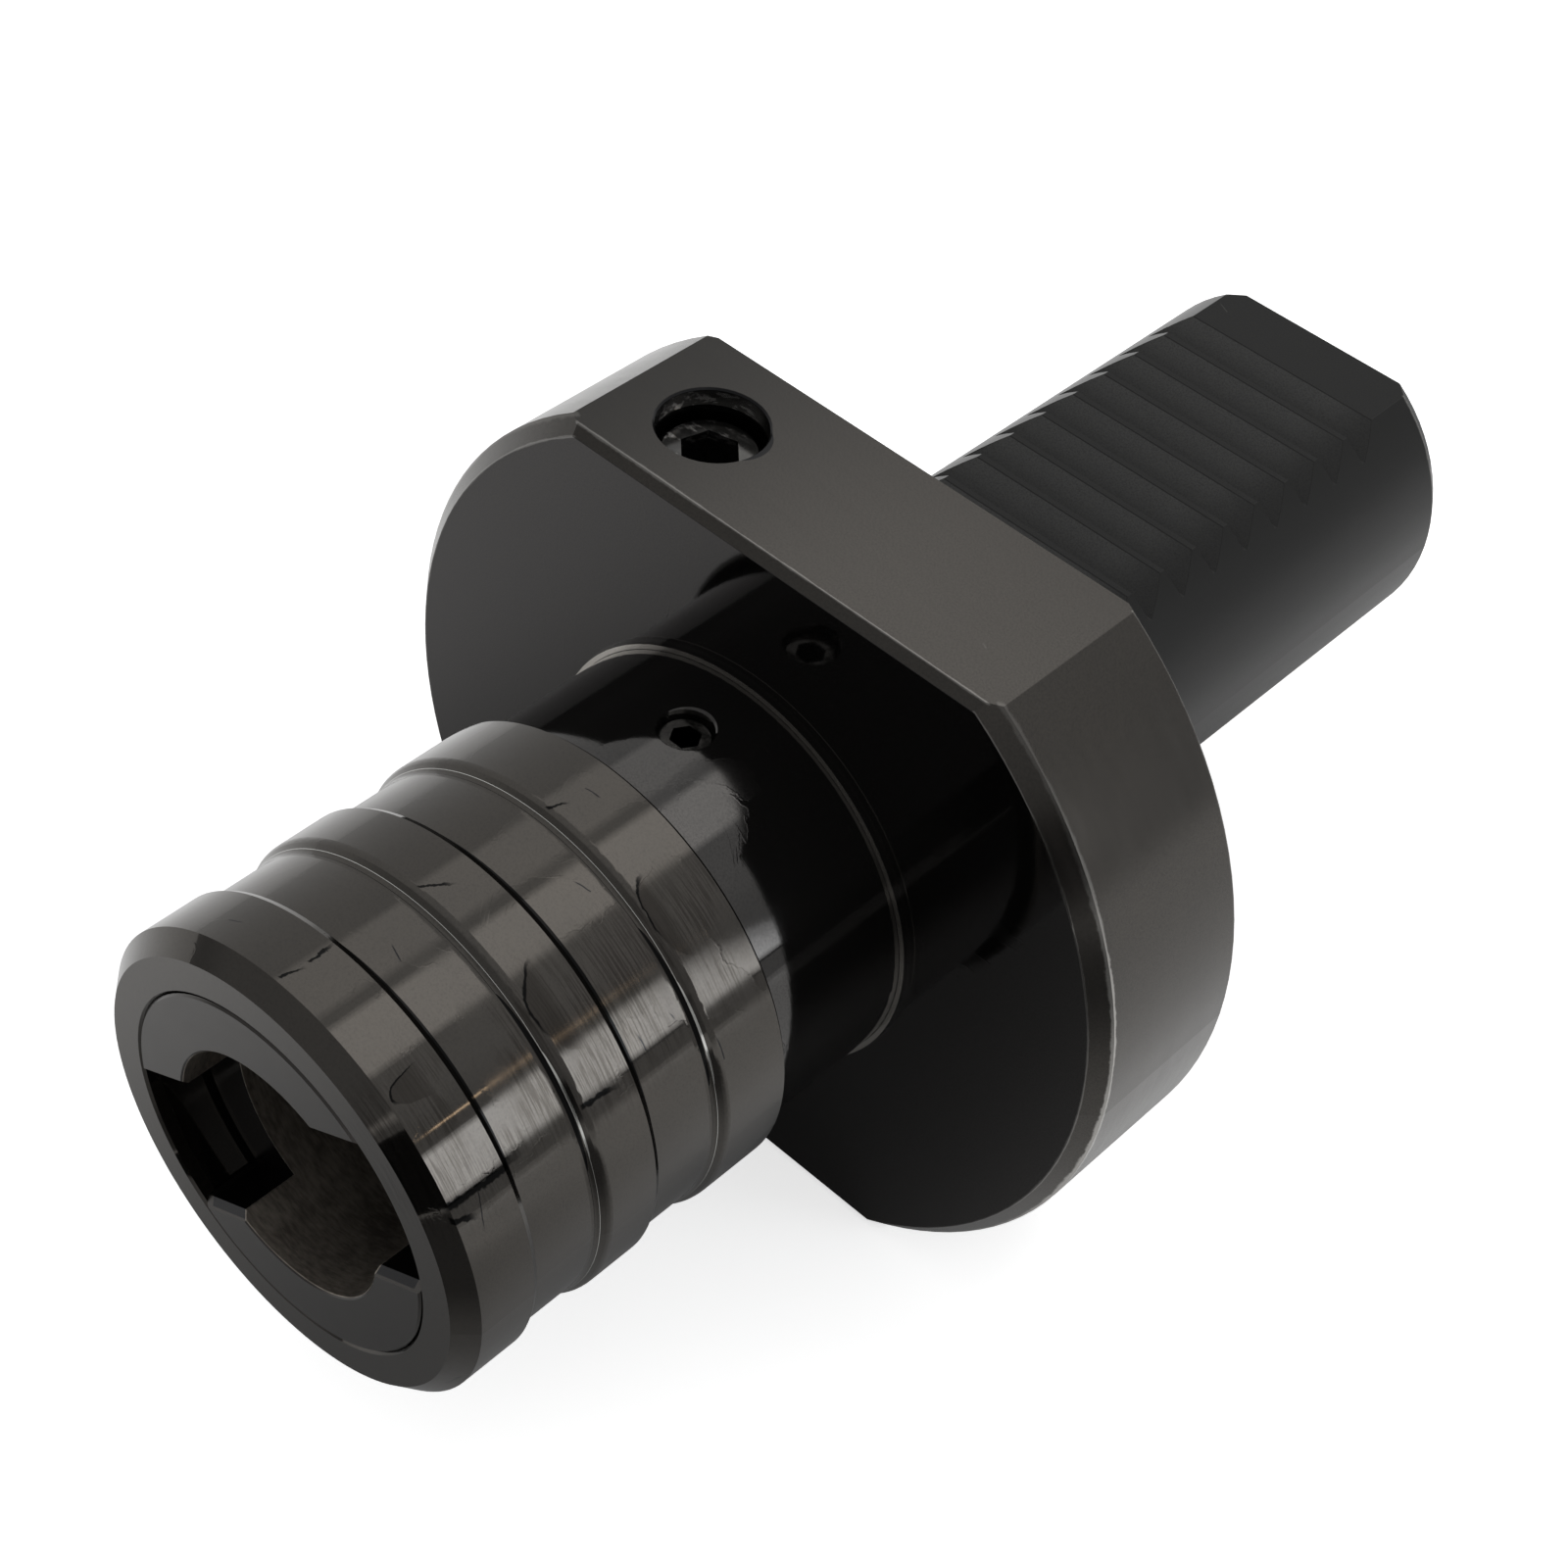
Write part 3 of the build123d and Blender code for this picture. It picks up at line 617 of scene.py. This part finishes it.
def dress(tree, shader, color, roughness, height):
    """Link colour, roughness and a bump whose height is in micrometres."""
    tree.links.new(color, shader.inputs["Base Color"])
    tree.links.new(roughness, shader.inputs["Roughness"])
    bump = add(tree, "ShaderNodeBump", {"Strength": 1.0, "Distance": MICROMETRE, "Height": height})
    tree.links.new(bump.outputs[0], shader.inputs["Normal"])


def give(material, *names):
    """Put the material in the only slot of each named piece."""
    for name in names:
        slots = nodes[name].data.materials
        slots.clear()
        slots.append(material)
    print(material.name, "->", ", ".join(names))


# %% [markdown]
# ## The body's steel
#
# The forging is blackened all over, then finished by use of each place: the front face and the neck are
# polished and wet with oil, so they mirror each other; the flats are ground and the rim is turned, both
# satin; the shank is more matt, and its teeth most of all. Blackened steel reflects only about a
# twentieth of the light, with no colour from within, so it is a metal with a very dark base colour.

# %% Body steel
OXIDE = (0.050, 0.048, 0.045)
OXIDE_WARM = (0.068, 0.062, 0.055)
# Painted reflection: the top flat's colour goes from darker on the left to lighter on the right.
TOP_FLAT_PAINTED_SHADE = (0.041, 0.0395, 0.037)
TOP_FLAT_PAINTED_SHEEN = (0.074, 0.069, 0.063)
OXIDE_FACE = (0.046, 0.044, 0.043)
OXIDE_NECK = (0.062, 0.060, 0.058)
OXIDE_SHANK = (0.0225, 0.0225, 0.022)
# Painted light and shade on the teeth: flanks lighter towards the crest, darker at the root.
FLANK_PAINTED_LIGHT = (0.064, 0.064, 0.063)
ROOT_PAINTED_SHADE = (0.038, 0.038, 0.0375)
OXIDE_LAND = (0.028, 0.028, 0.0275)
# Deep oxide for dark grain and nicks, and also painted shade at the coolant hole's edge.
DEEP_OXIDE_AND_SHADE = (0.018, 0.018, 0.019)
# Bare metal of worn edges, and also a painted highlight along the lower part of the rim's edge.
BARE_AND_HIGHLIGHT = (0.42, 0.41, 0.39)
# Painted highlight: the collar ring at the neck's base is coloured bright.
COLLAR_PAINTED_HIGHLIGHT = (0.42, 0.40, 0.37)
# Edges that wear, as (radius, station), and on the flats as (height, station), in millimetres.
RIM_EDGE = [(33.95, -13.75)]
FACE_EDGES = [(32.75, -15.0), (34.0, -0.4), (16.55, -30.2), (15.0, 53.8)]
FLAT_FRONT_EDGES = [(28.0, -14.3), (-28.0, -14.3)]
# Heights where the rim's worn edge turns into a painted highlight, from start to full.
RIM_PAINTED_HIGHLIGHT_HEIGHTS = (24.0, 6.0)
# Borders between finishes in millimetres, each a little off the surface itself.
FRONT_FACE = -14.97
COLLAR_STATIONS = (-15.7, -15.55)
COLLAR_RADII = (16.88, 17.4)
SHANK_START = 0.02
SHANK_RADIUS = 15.3
TEETH_START = 9.0
TEETH_RADIUS = 14.96
TEETH_HEIGHTS = (7.0, 11.95)
# Heights of the painted light on the flanks, and where painted shade grows along X towards the run-out.
FLANK_PAINTED_LIGHT_HEIGHTS = (10.2, 11.9)
FLANK_PAINTED_SHADE_FROM = (4.5, 10.0)
FLAT_HEIGHT = 27.97
FLAT_RADIUS = 20.0
# Where the top flat's painted sheen starts and where it is full, along X.
TOP_FLAT_PAINTED_SHEEN_FROM = (-24.0, 8.0)
# The coolant hole in the top flat, a band of painted shade down its wall, its countersink, and a crescent of
# painted shade on its edge.
COOLANT_HOLE = (-12.1, -7.4)
HOLE_RADIUS = 4.1
HOLE_HEIGHTS = (17.0, 27.8)
HOLE_PAINTED_SHADE_HEIGHTS = (25.0, 26.6)
SINK_RADIUS = 4.24
SINK_HEIGHTS = (27.72, 27.98)
PAINTED_CRESCENT_AT = (-10.05, -7.1)
PAINTED_CRESCENT_RADIUS = 2.5
PAINTED_CRESCENT_HEIGHT = 27.7
PAINTED_CRESCENT_INNER_RADIUS = 4.05
# Painted light on the coolant hole's wall, and painted glint streaks on its left.
HOLE_WALL_PAINTED_LIGHT = (0.13, 0.127, 0.122)
PAINTED_GLINT_STREAK = (0.50, 0.49, 0.48)
# Black for oil marks, and for painted shade in the coolant hole, the key screw's socket and the sleeve's
# grooves.
OIL_AND_SHADE_BLACK = (0.006, 0.006, 0.006)
STREAK_STRETCH = (0.5, 1.6, 2.2)
STREAKS_FROM = (-10.5, -13.0)
# Roughness. Each pair follows the lay, or the oil from dry to wet.
ROUGH_TURNED = (0.16, 0.27)
ROUGH_GROUND = (0.14, 0.21)
ROUGH_POLISHED = (0.11, 0.055)
ROUGH_SHANK = 0.35
ROUGH_TEETH = 0.60
ROUGH_COLLAR = 0.20


def hole_radius(tree, x, y, centre):
    """Distance in millimetres from a vertical line through the centre."""
    dx = calc(tree, "SUBTRACT", x, centre[0])
    dy = calc(tree, "SUBTRACT", y, centre[1])
    return length_of(tree, dx, dy)


def painted_glint_streaks(tree, point, x):
    """Painted glint streaks on the left of the coolant hole: a cut noise, stretched along X."""
    sockets = {0: point, 1: STREAK_STRETCH}
    stretched = add(tree, "ShaderNodeVectorMath", sockets, operation="MULTIPLY").outputs[0]
    cut = soft_step(tree, noise(tree, stretched, 1100.0, detail=3.0, roughness=0.6), 0.52, 0.60)
    return calc(tree, "MULTIPLY", cut, soft_step(tree, x, *STREAKS_FROM))


def body_steel():
    """Finishes by place: polished front and neck, ground flats, turned rim, matt shank and teeth."""
    material, tree, shader, point, (x, y, z, r) = start_steel("body steel")
    front = below(tree, y, FRONT_FACE)
    neck = both(tree, front, below(tree, r, COLLAR_RADII[1]))
    collar = both(tree, between(tree, y, *COLLAR_STATIONS), between(tree, r, *COLLAR_RADII))
    shank = both(tree, above(tree, y, SHANK_START), below(tree, r, SHANK_RADIUS))
    teeth_side = both(tree, above(tree, y, TEETH_START), above(tree, z, TEETH_HEIGHTS[0]))
    rack = both(tree, teeth_side, below(tree, r, TEETH_RADIUS))
    flats = both(tree, above(tree, calc(tree, "ABSOLUTE", z), FLAT_HEIGHT), above(tree, r, FLAT_RADIUS))
    hole_r = hole_radius(tree, x, y, COOLANT_HOLE)
    hole = both(tree, below(tree, hole_r, HOLE_RADIUS), between(tree, z, *HOLE_HEIGHTS))
    by_painted_crescent = below(tree, hole_radius(tree, x, y, PAINTED_CRESCENT_AT), PAINTED_CRESCENT_RADIUS)
    on_edge = both(tree, above(tree, z, PAINTED_CRESCENT_HEIGHT), above(tree, hole_r, PAINTED_CRESCENT_INNER_RADIUS))
    painted_crescent_shade = both(tree, on_edge, by_painted_crescent)
    sink = both(tree, between(tree, z, *SINK_HEIGHTS), below(tree, hole_r, SINK_RADIUS))
    top_flat_painted_sheen = soft_step(tree, x, *TOP_FLAT_PAINTED_SHEEN_FROM)

    turned = use(tree, turned_lay, {"Point": point, "Pitch": 0.11, "Waver": 5.0})
    ground = use(tree, ground_lay, {"Point": point, "Pitch": 0.09, "Length": 5.0})
    oil = use(tree, oil_film, {"Point": point, "Size": 9.0, "Level": 0.56})
    grain = noise(tree, point, 7000.0, detail=2.0, roughness=0.7)
    waves = noise(tree, point, 260.0, detail=3.0, roughness=0.55)
    ripple = noise(tree, point, 1000.0, detail=3.0, roughness=0.6)
    cloud = noise(tree, point, 70.0, detail=4.0, roughness=0.6)

    color = tint(tree, cloud, OXIDE, OXIDE_WARM)
    # Painted reflection on the top flat: darker left, lighter right.
    top = tint(tree, top_flat_painted_sheen, TOP_FLAT_PAINTED_SHADE, TOP_FLAT_PAINTED_SHEEN)
    color = tint(tree, both(tree, flats, above(tree, z, 0.0)), color, top)
    color = tint(tree, front, color, OXIDE_FACE)
    color = tint(tree, neck, color, OXIDE_NECK)
    color = tint(tree, shank, color, OXIDE_SHANK)
    color = tint(tree, rack, color, OXIDE_LAND)
    # Painted light and shade on the teeth: lighter near the crest, darker at the root and towards the
    # run-out.
    flank = tint(tree, soft_step(tree, z, *FLANK_PAINTED_LIGHT_HEIGHTS), ROOT_PAINTED_SHADE, FLANK_PAINTED_LIGHT)
    flank = tint(tree, soft_step(tree, x, *FLANK_PAINTED_SHADE_FROM), flank, ROOT_PAINTED_SHADE)
    color = tint(tree, both(tree, rack, below(tree, z, TEETH_HEIGHTS[1])), color, flank)
    grainy = soft_step(tree, grain, 0.35, 0.75)
    color = tint(tree, calc(tree, "MULTIPLY", grainy, 0.35), color, DEEP_OXIDE_AND_SHADE)
    # Painted highlight on the collar ring.
    color = tint(tree, collar, color, COLLAR_PAINTED_HIGHLIGHT)
    # Painted shade: the countersink and a crescent at the hole's edge are coloured dark.
    color = tint(tree, calc(tree, "MAXIMUM", painted_crescent_shade, sink), color, DEEP_OXIDE_AND_SHADE)
    # Painted light on the hole's wall, painted glint streaks on its left, and a band of painted shade lower
    # down.
    wall = tint(tree, painted_glint_streaks(tree, point, x), HOLE_WALL_PAINTED_LIGHT, PAINTED_GLINT_STREAK)
    wall = tint(tree, between(tree, z, *HOLE_PAINTED_SHADE_HEIGHTS), wall, OIL_AND_SHADE_BLACK)
    color = tint(tree, hole, color, wall)

    rough = pick(tree, turned["Band"], *ROUGH_TURNED)
    rough = pick(tree, flats, rough, pick(tree, ground["Band"], *ROUGH_GROUND))
    rough = pick(tree, shank, rough, ROUGH_SHANK)
    rough = pick(tree, rack, rough, ROUGH_TEETH)
    rough = pick(tree, front, rough, pick(tree, oil["Film"], *ROUGH_POLISHED))
    rough = pick(tree, collar, rough, ROUGH_COLLAR)
    rough = calc(tree, "ADD", rough, centred(tree, grain, 0.08))

    nick = use(tree, nicks, {"Point": point, "Size": 2.6, "Amount": 0.012})[0]
    worn = calc(tree, "MULTIPLY", nick, 0.08)
    # Partly painted highlight: the rim's edge wear is strong on its lower part, where it stands for a bright
    # edge line.
    rim_wear_and_painted_highlight = pick(tree, soft_step(tree, z, *RIM_PAINTED_HIGHLIGHT_HEIGHTS), 0.12, 0.75)
    for width, share, u, v, edges in (
        (0.30, rim_wear_and_painted_highlight, r, y, RIM_EDGE),
        (0.12, 0.22, r, y, FACE_EDGES),
        (0.14, 0.30, z, y, FLAT_FRONT_EDGES),
    ):
        sockets = {"Point": point, "Distance": edge_distance(tree, u, v, edges), "Width": width}
        wear = use(tree, worn_edge, sockets)[0]
        worn = calc(tree, "MAXIMUM", worn, calc(tree, "MULTIPLY", wear, share))
    color = tint(tree, worn, color, BARE_AND_HIGHLIGHT)

    lay = pick(tree, flats, turned["Height"], ground["Height"])
    height = add_heights(tree, (lay, 0.5), (waves, 2.2), (grain, 0.12),
                         (both(tree, front, oil["Rim"]), 1.4), (both(tree, front, ripple), 0.8))
    dress(tree, shader, color, rough, height)
    return material


give(body_steel(), "holder_body")

# %% [markdown]
# ## The locking sleeve
#
# The sleeve is turned, hardened, blackened and handled every day. It is smooth enough to mirror the room
# with soft broken borders. Rubbed rings show as a fine hatch where the hand grips it. Behind its steps,
# black lines are painted shade and thin glints are painted highlights; three thumb-wide smears sit on the
# bands, and a few dried runs cross them.

# %% Sleeve steel
SLEEVE_OXIDE = (0.058, 0.055, 0.051)
SLEEVE_WARM = (0.072, 0.066, 0.059)
SMEAR_BROWN = (0.030, 0.027, 0.024)
SMEAR_STRENGTH = 0.70
# Each smear: middle angle, station of its tip, half its width and its length.
SMEARS = [(58.6, -56.1, 1.1, 2.8), (54.5, -45.1, 3.4, 2.2), (56.5, -34.4, 3.2, 1.7)]
# Each run: angle, station where it starts, lean in degrees, length and width.
RUNS = [
    (92.6, -56.3, -2.0, 1.9, 0.12), (91.4, -54.2, 0.4, 2.4, 0.12), (91.8, -45.1, -4.2, 2.2, 0.12),
    (90.4, -34.3, -2.0, 1.6, 0.12), (34.8, -56.9, -0.6, 7.5, 0.26), (32.0, -56.8, -2.5, 2.0, 0.24),
    (34.8, -45.4, -0.6, 3.6, 0.18),
]
GLINT = (0.55, 0.55, 0.53)
# Each line along a groove: station, middle angle, half its turn, width and colour. The black lines are
# painted shade along the steps and shoulders, the GLINT lines painted highlights.
GROOVE_LINES = [
    (-51.6, 60.0, 40.0, 0.36, OIL_AND_SHADE_BLACK), (-40.6, 61.0, 57.0, 0.42, OIL_AND_SHADE_BLACK),
    (-46.10, 42.0, 22.0, 0.30, OIL_AND_SHADE_BLACK), (-35.10, 38.0, 20.0, 0.30, OIL_AND_SHADE_BLACK),
    (-45.76, 36.0, 13.0, 0.11, GLINT), (-34.76, 31.0, 13.0, 0.11, GLINT),
]
GRIP_ANGLE = 47.0
GRIP_REACH = (24.0, 7.0)
GRIP_CLOUD_CUT = (0.36, 0.50)
HATCH_CUT = (0.44, 0.58)
HATCH_STRENGTH = 0.75
NOSE_POLISH_ENDS = (-52.5, -49.0)
ROUGH_SLEEVE = (0.09, 0.16)
ROUGH_SLEEVE_OIL = 0.07
ROUGH_NOSE = 0.05


def sleeve_steel():
    """Mirror-smooth oxide with rubbed rings, cloud, oil film, smears, runs, and painted shade and glint lines
    in the grooves.
    """
    material, tree, shader, point, (x, y, z, _) = start_steel("sleeve steel")
    turned = use(tree, turned_lay, {"Point": point, "Pitch": 0.07, "Waver": 4.5})
    rubbed = use(tree, turned_lay, {"Point": point, "Pitch": 0.11, "Waver": 5.0})
    oil = use(tree, oil_film, {"Point": point, "Size": 8.0, "Level": 0.5})
    grain = noise(tree, point, 6000.0, detail=2.0, roughness=0.7)
    waves = noise(tree, point, 240.0, detail=4.0, roughness=0.6)
    ripple = noise(tree, point, 900.0, detail=3.0, roughness=0.55)
    cloud = noise(tree, point, 90.0, detail=4.0, roughness=0.6)
    angle = angle_about_axis(tree, x, z)
    from_grip = calc(tree, "ABSOLUTE", calc(tree, "SUBTRACT", angle, GRIP_ANGLE))
    grip = both(tree, soft_step(tree, from_grip, *GRIP_REACH), soft_step(tree, cloud, *GRIP_CLOUD_CUT))
    hatch = both(tree, soft_step(tree, rubbed["Height"], *HATCH_CUT), grip)

    color = tint(tree, cloud, SLEEVE_OXIDE, SLEEVE_WARM)
    color = tint(tree, calc(tree, "MULTIPLY", soft_step(tree, grain, 0.4, 0.8), 0.25), color, DEEP_OXIDE_AND_SHADE)
    color = tint(tree, calc(tree, "MULTIPLY", hatch, HATCH_STRENGTH), color, SMEAR_BROWN)
    behind_nose = soft_step(tree, y, *NOSE_POLISH_ENDS)
    rough = pick(tree, turned["Band"], *ROUGH_SLEEVE)
    rough = pick(tree, oil["Film"], rough, ROUGH_SLEEVE_OIL)
    rough = pick(tree, behind_nose, ROUGH_NOSE, rough)
    for smear_angle, tip, half_width, length in SMEARS:
        sockets = {"Point": point, "Angle": smear_angle, "Tip": tip, "Half Width": half_width}
        sockets["Length"] = length
        smear = use(tree, oil_smear, sockets)
        color = tint(tree, calc(tree, "MULTIPLY", smear["Patch"], SMEAR_STRENGTH), color, SMEAR_BROWN)
        color = tint(tree, smear["Outline"], color, OIL_AND_SHADE_BLACK)
    for run_angle, start, lean, length, width in RUNS:
        sockets = {"Point": point, "Angle": run_angle, "Start": start, "Lean": lean}
        sockets.update({"Length": length, "Width": width})
        line = use(tree, oil_run, sockets)[0]
        color = tint(tree, line, color, OIL_AND_SHADE_BLACK)
    # Painted shade and painted glints along the grooves.
    for station, middle, half_turn, width, shade in GROOVE_LINES:
        turn = calc(tree, "DIVIDE", calc(tree, "SUBTRACT", angle, middle), half_turn)
        lens = calc(tree, "SUBTRACT", 1.0, calc(tree, "MULTIPLY", turn, turn))
        reach = calc(tree, "MULTIPLY", calc(tree, "SQRT", calc(tree, "MAXIMUM", lens, 0.0)), width)
        behind_step = calc(tree, "SUBTRACT", y, station)
        stands = between(tree, behind_step, -0.03, reach)
        color = tint(tree, stands, color, shade)
    nick = use(tree, nicks, {"Point": point, "Size": 2.6, "Amount": 0.07})[0]
    color = tint(tree, nick, color, DEEP_OXIDE_AND_SHADE)
    height = add_heights(tree, (turned["Height"], 0.4), (waves, 3.0), (ripple, 0.7), (grain, 0.05),
                         (oil["Rim"], 1.2))
    dress(tree, shader, color, rough, height)
    return material


give(sleeve_steel(), "locking_sleeve")

# %% [markdown]
# ## The spindle
#
# The spindle's face is ground satin. Its bore is honed and stained brown by old oil; the drive slot is
# milled, and its near black colour is painted shade.

# %% Spindle steel
BORE_RADIUS = 9.6
BORE_MOUTH = -57.9
SLOT_RADIUS = 13.2
SLOT_STATIONS = (-57.85, -50.0)
FACE_DARK = (0.046, 0.044, 0.042)
FACE_LIGHT = (0.060, 0.056, 0.052)
STAIN_DARK = (0.12, 0.105, 0.090)
STAIN_LIGHT = (0.29, 0.26, 0.225)
# Painted shade: the slot's inside is coloured near black.
SLOT_PAINTED_SHADE = (0.020, 0.020, 0.021)
ROUGH_SPINDLE = (0.20, 0.30)
ROUGH_BORE = 0.48
ROUGH_SLOT = 0.24


def spindle_steel():
    """Satin ground face, stained honed bore, glossy slot painted near black as shade."""
    material, tree, shader, point, (_, y, _, r) = start_steel("spindle steel")
    turned = use(tree, turned_lay, {"Point": point, "Pitch": 0.08, "Waver": 5.0})
    grain = noise(tree, point, 6000.0, detail=2.0, roughness=0.7)
    cloud = noise(tree, point, 220.0, detail=5.0, roughness=0.7)
    bore = both(tree, below(tree, r, BORE_RADIUS), above(tree, y, BORE_MOUTH))
    slot = both(tree, between(tree, r, BORE_RADIUS, SLOT_RADIUS), between(tree, y, *SLOT_STATIONS))
    color = tint(tree, cloud, FACE_DARK, FACE_LIGHT)
    rings = use(tree, turned_lay, {"Point": point, "Pitch": 0.25, "Waver": 9.0})
    mottle = calc(tree, "MULTIPLY", calc(tree, "ADD", cloud, rings["Height"]), 0.5)
    stained = tint(tree, soft_step(tree, mottle, 0.34, 0.66), STAIN_DARK, STAIN_LIGHT)
    color = tint(tree, bore, color, stained)
    color = tint(tree, slot, color, SLOT_PAINTED_SHADE)
    rough = pick(tree, turned["Band"], *ROUGH_SPINDLE)
    rough = pick(tree, bore, rough, ROUGH_BORE)
    rough = pick(tree, slot, rough, ROUGH_SLOT)
    height = add_heights(tree, (turned["Height"], 0.8), (grain, 0.12))
    dress(tree, shader, color, rough, height)
    return material


give(spindle_steel(), "float_spindle")

# %% [markdown]
# ## Screws, springs, bright parts and seals
#
# Set screws are black and glossy with oil. Springs and the clip are plain grey steel. Balls, washers and
# collars are ground bright. Seals are rubber: dark, dull, with a faint moulded bloom.

# %% Small steels
KEY_SCREW_AT = (0.0, -21.3)
KEY_SCREW_TOP = 15.95
KEY_SOCKET_RADIUS = 1.16
PLUG_STREAKS_ABOVE = 25.0


def small_steel(name, tones, rough, marks, cut=(0.25, 0.75)):
    """Simple steel: two tones parted by a cloud's cut, roughness by the lay, marks in micrometres."""
    material, tree, shader, point, _ = start_steel(name)
    turned = use(tree, turned_lay, {"Point": point, "Pitch": 0.09, "Waver": 5.0})
    grain = noise(tree, point, 5000.0, detail=2.0, roughness=0.7)
    cloud = noise(tree, point, 300.0, detail=4.0, roughness=0.6)
    color = tint(tree, soft_step(tree, cloud, *cut), *tones)
    height = add_heights(tree, (turned["Height"], marks), (grain, 0.15))
    dress(tree, shader, color, pick(tree, turned["Band"], *rough), height)
    return material


def overlay_colour(tree, mask, color):
    """Lay one more colour over a finished steel where the mask is 1."""
    socket = tree.nodes["Principled BSDF"].inputs["Base Color"]
    tree.links.new(tint(tree, mask, socket.links[0].from_socket, color), socket)


def key_screw_steel():
    """Set screw wet with oil: pale patches of painted glints on its top, painted shade black inside its
    hexagon socket.
    """
    # The pale tone is painted glints.
    tones = ((0.035, 0.034, 0.032), (0.42, 0.41, 0.39))
    material = small_steel("oiled screw steel with painted glints", tones, rough=(0.07, 0.16), marks=0.6, cut=(0.46, 0.60))
    tree = material.node_tree
    x, y, z, _ = split_point(tree, add(tree, "ShaderNodeTexCoord").outputs["Object"])
    # Painted shade: black inside the hexagon socket.
    deep = below(tree, calc(tree, "ABSOLUTE", z), KEY_SCREW_TOP)
    socket = both(tree, below(tree, hole_radius(tree, x, y, KEY_SCREW_AT), KEY_SOCKET_RADIUS), deep)
    overlay_colour(tree, socket, OIL_AND_SHADE_BLACK)
    return material


def plug_steel():
    """Set screw in the coolant hole: black, with the hole's painted glint streaks on its top."""
    tones = ((0.05, 0.05, 0.05), (0.12, 0.118, 0.112))
    material = small_steel("plug steel", tones, rough=(0.10, 0.20), marks=0.6)
    tree = material.node_tree
    point = add(tree, "ShaderNodeTexCoord").outputs["Object"]
    x, _, z, _ = split_point(tree, point)
    streaks = calc(tree, "MULTIPLY", painted_glint_streaks(tree, point, x), above(tree, z, PLUG_STREAKS_ABOVE))
    overlay_colour(tree, streaks, PAINTED_GLINT_STREAK)
    return material


SCREW_TONES = ((0.055, 0.055, 0.056), (0.095, 0.092, 0.088))
SPRING_TONES = ((0.20, 0.19, 0.18), (0.34, 0.33, 0.31))
BRIGHT_TONES = ((0.50, 0.49, 0.47), (0.60, 0.59, 0.57))
screw_steel = small_steel("screw steel", SCREW_TONES, rough=(0.12, 0.26), marks=0.6)
spring_steel = small_steel("spring steel", SPRING_TONES, rough=(0.22, 0.36), marks=0.8)
bright_steel = small_steel("bright steel", BRIGHT_TONES, rough=(0.10, 0.18), marks=0.4)
give(plug_steel(), "coolant_plug")
give(screw_steel, "tie_bolt", "end_plug")
give(key_screw_steel(), "key_screw_upper", "key_screw_lower")
give(spring_steel, "sleeve_spring", "return_spring", "retaining_clip")
give(bright_steel, "locking_ball_upper", "locking_ball_lower")
give(bright_steel, "spring_washer", "spring_seat", "spring_collar")


# %% Seal rubber
def seal_rubber():
    """Dull black rubber: not a metal, fine grain, faint pale bloom in patches."""
    material, tree, shader, point, _ = start_steel("seal rubber")
    shader.inputs["Metallic"].default_value = 0.0
    grain = noise(tree, point, 5000.0, detail=3.0, roughness=0.7)
    bloom = noise(tree, point, 350.0, detail=4.0, roughness=0.6)
    color = tint(tree, soft_step(tree, bloom, 0.45, 0.8), (0.012, 0.012, 0.012), (0.040, 0.039, 0.037))
    dress(tree, shader, color, pick(tree, bloom, 0.5, 0.7), add_heights(tree, (grain, 4.0)))
    return material


give(seal_rubber(), "shank_seal", "wiper_ring", "bumper_ring", "end_plug_seal")

# %% [markdown]
# ## Springs as copies
#
# Two springs give way as the joints move. A CAD node can only move as a whole, so each spring is stood for
# by a copy of its own mesh, hung on the body that carries its fixed end.

# %% Spring copies
# Each spring: body that carries its fixed end, joint, station of the fixed end and travel in millimetres.
SPRINGS = {
    "return_spring": ("holder", "spindle_float", 6.4, 7.0),
    "sleeve_spring": ("spindle", "sleeve_release", -35.7, 3.5),
}


def add_live_spring(node, body, joint, fixed_end, travel):
    """Copy of a CAD spring, hung on the body that carries its fixed end; the CAD spring itself is hidden."""
    wire = bpy.data.objects.new(node + "_wire", nodes[node].data.copy())
    bpy.context.scene.collection.objects.link(wire)
    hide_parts(node)
    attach(wire, body)
    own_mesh(wire)


for node, values in SPRINGS.items():
    add_live_spring(node, *values)

# %% Finish
bpy.context.scene.view_settings.view_transform = "Standard"
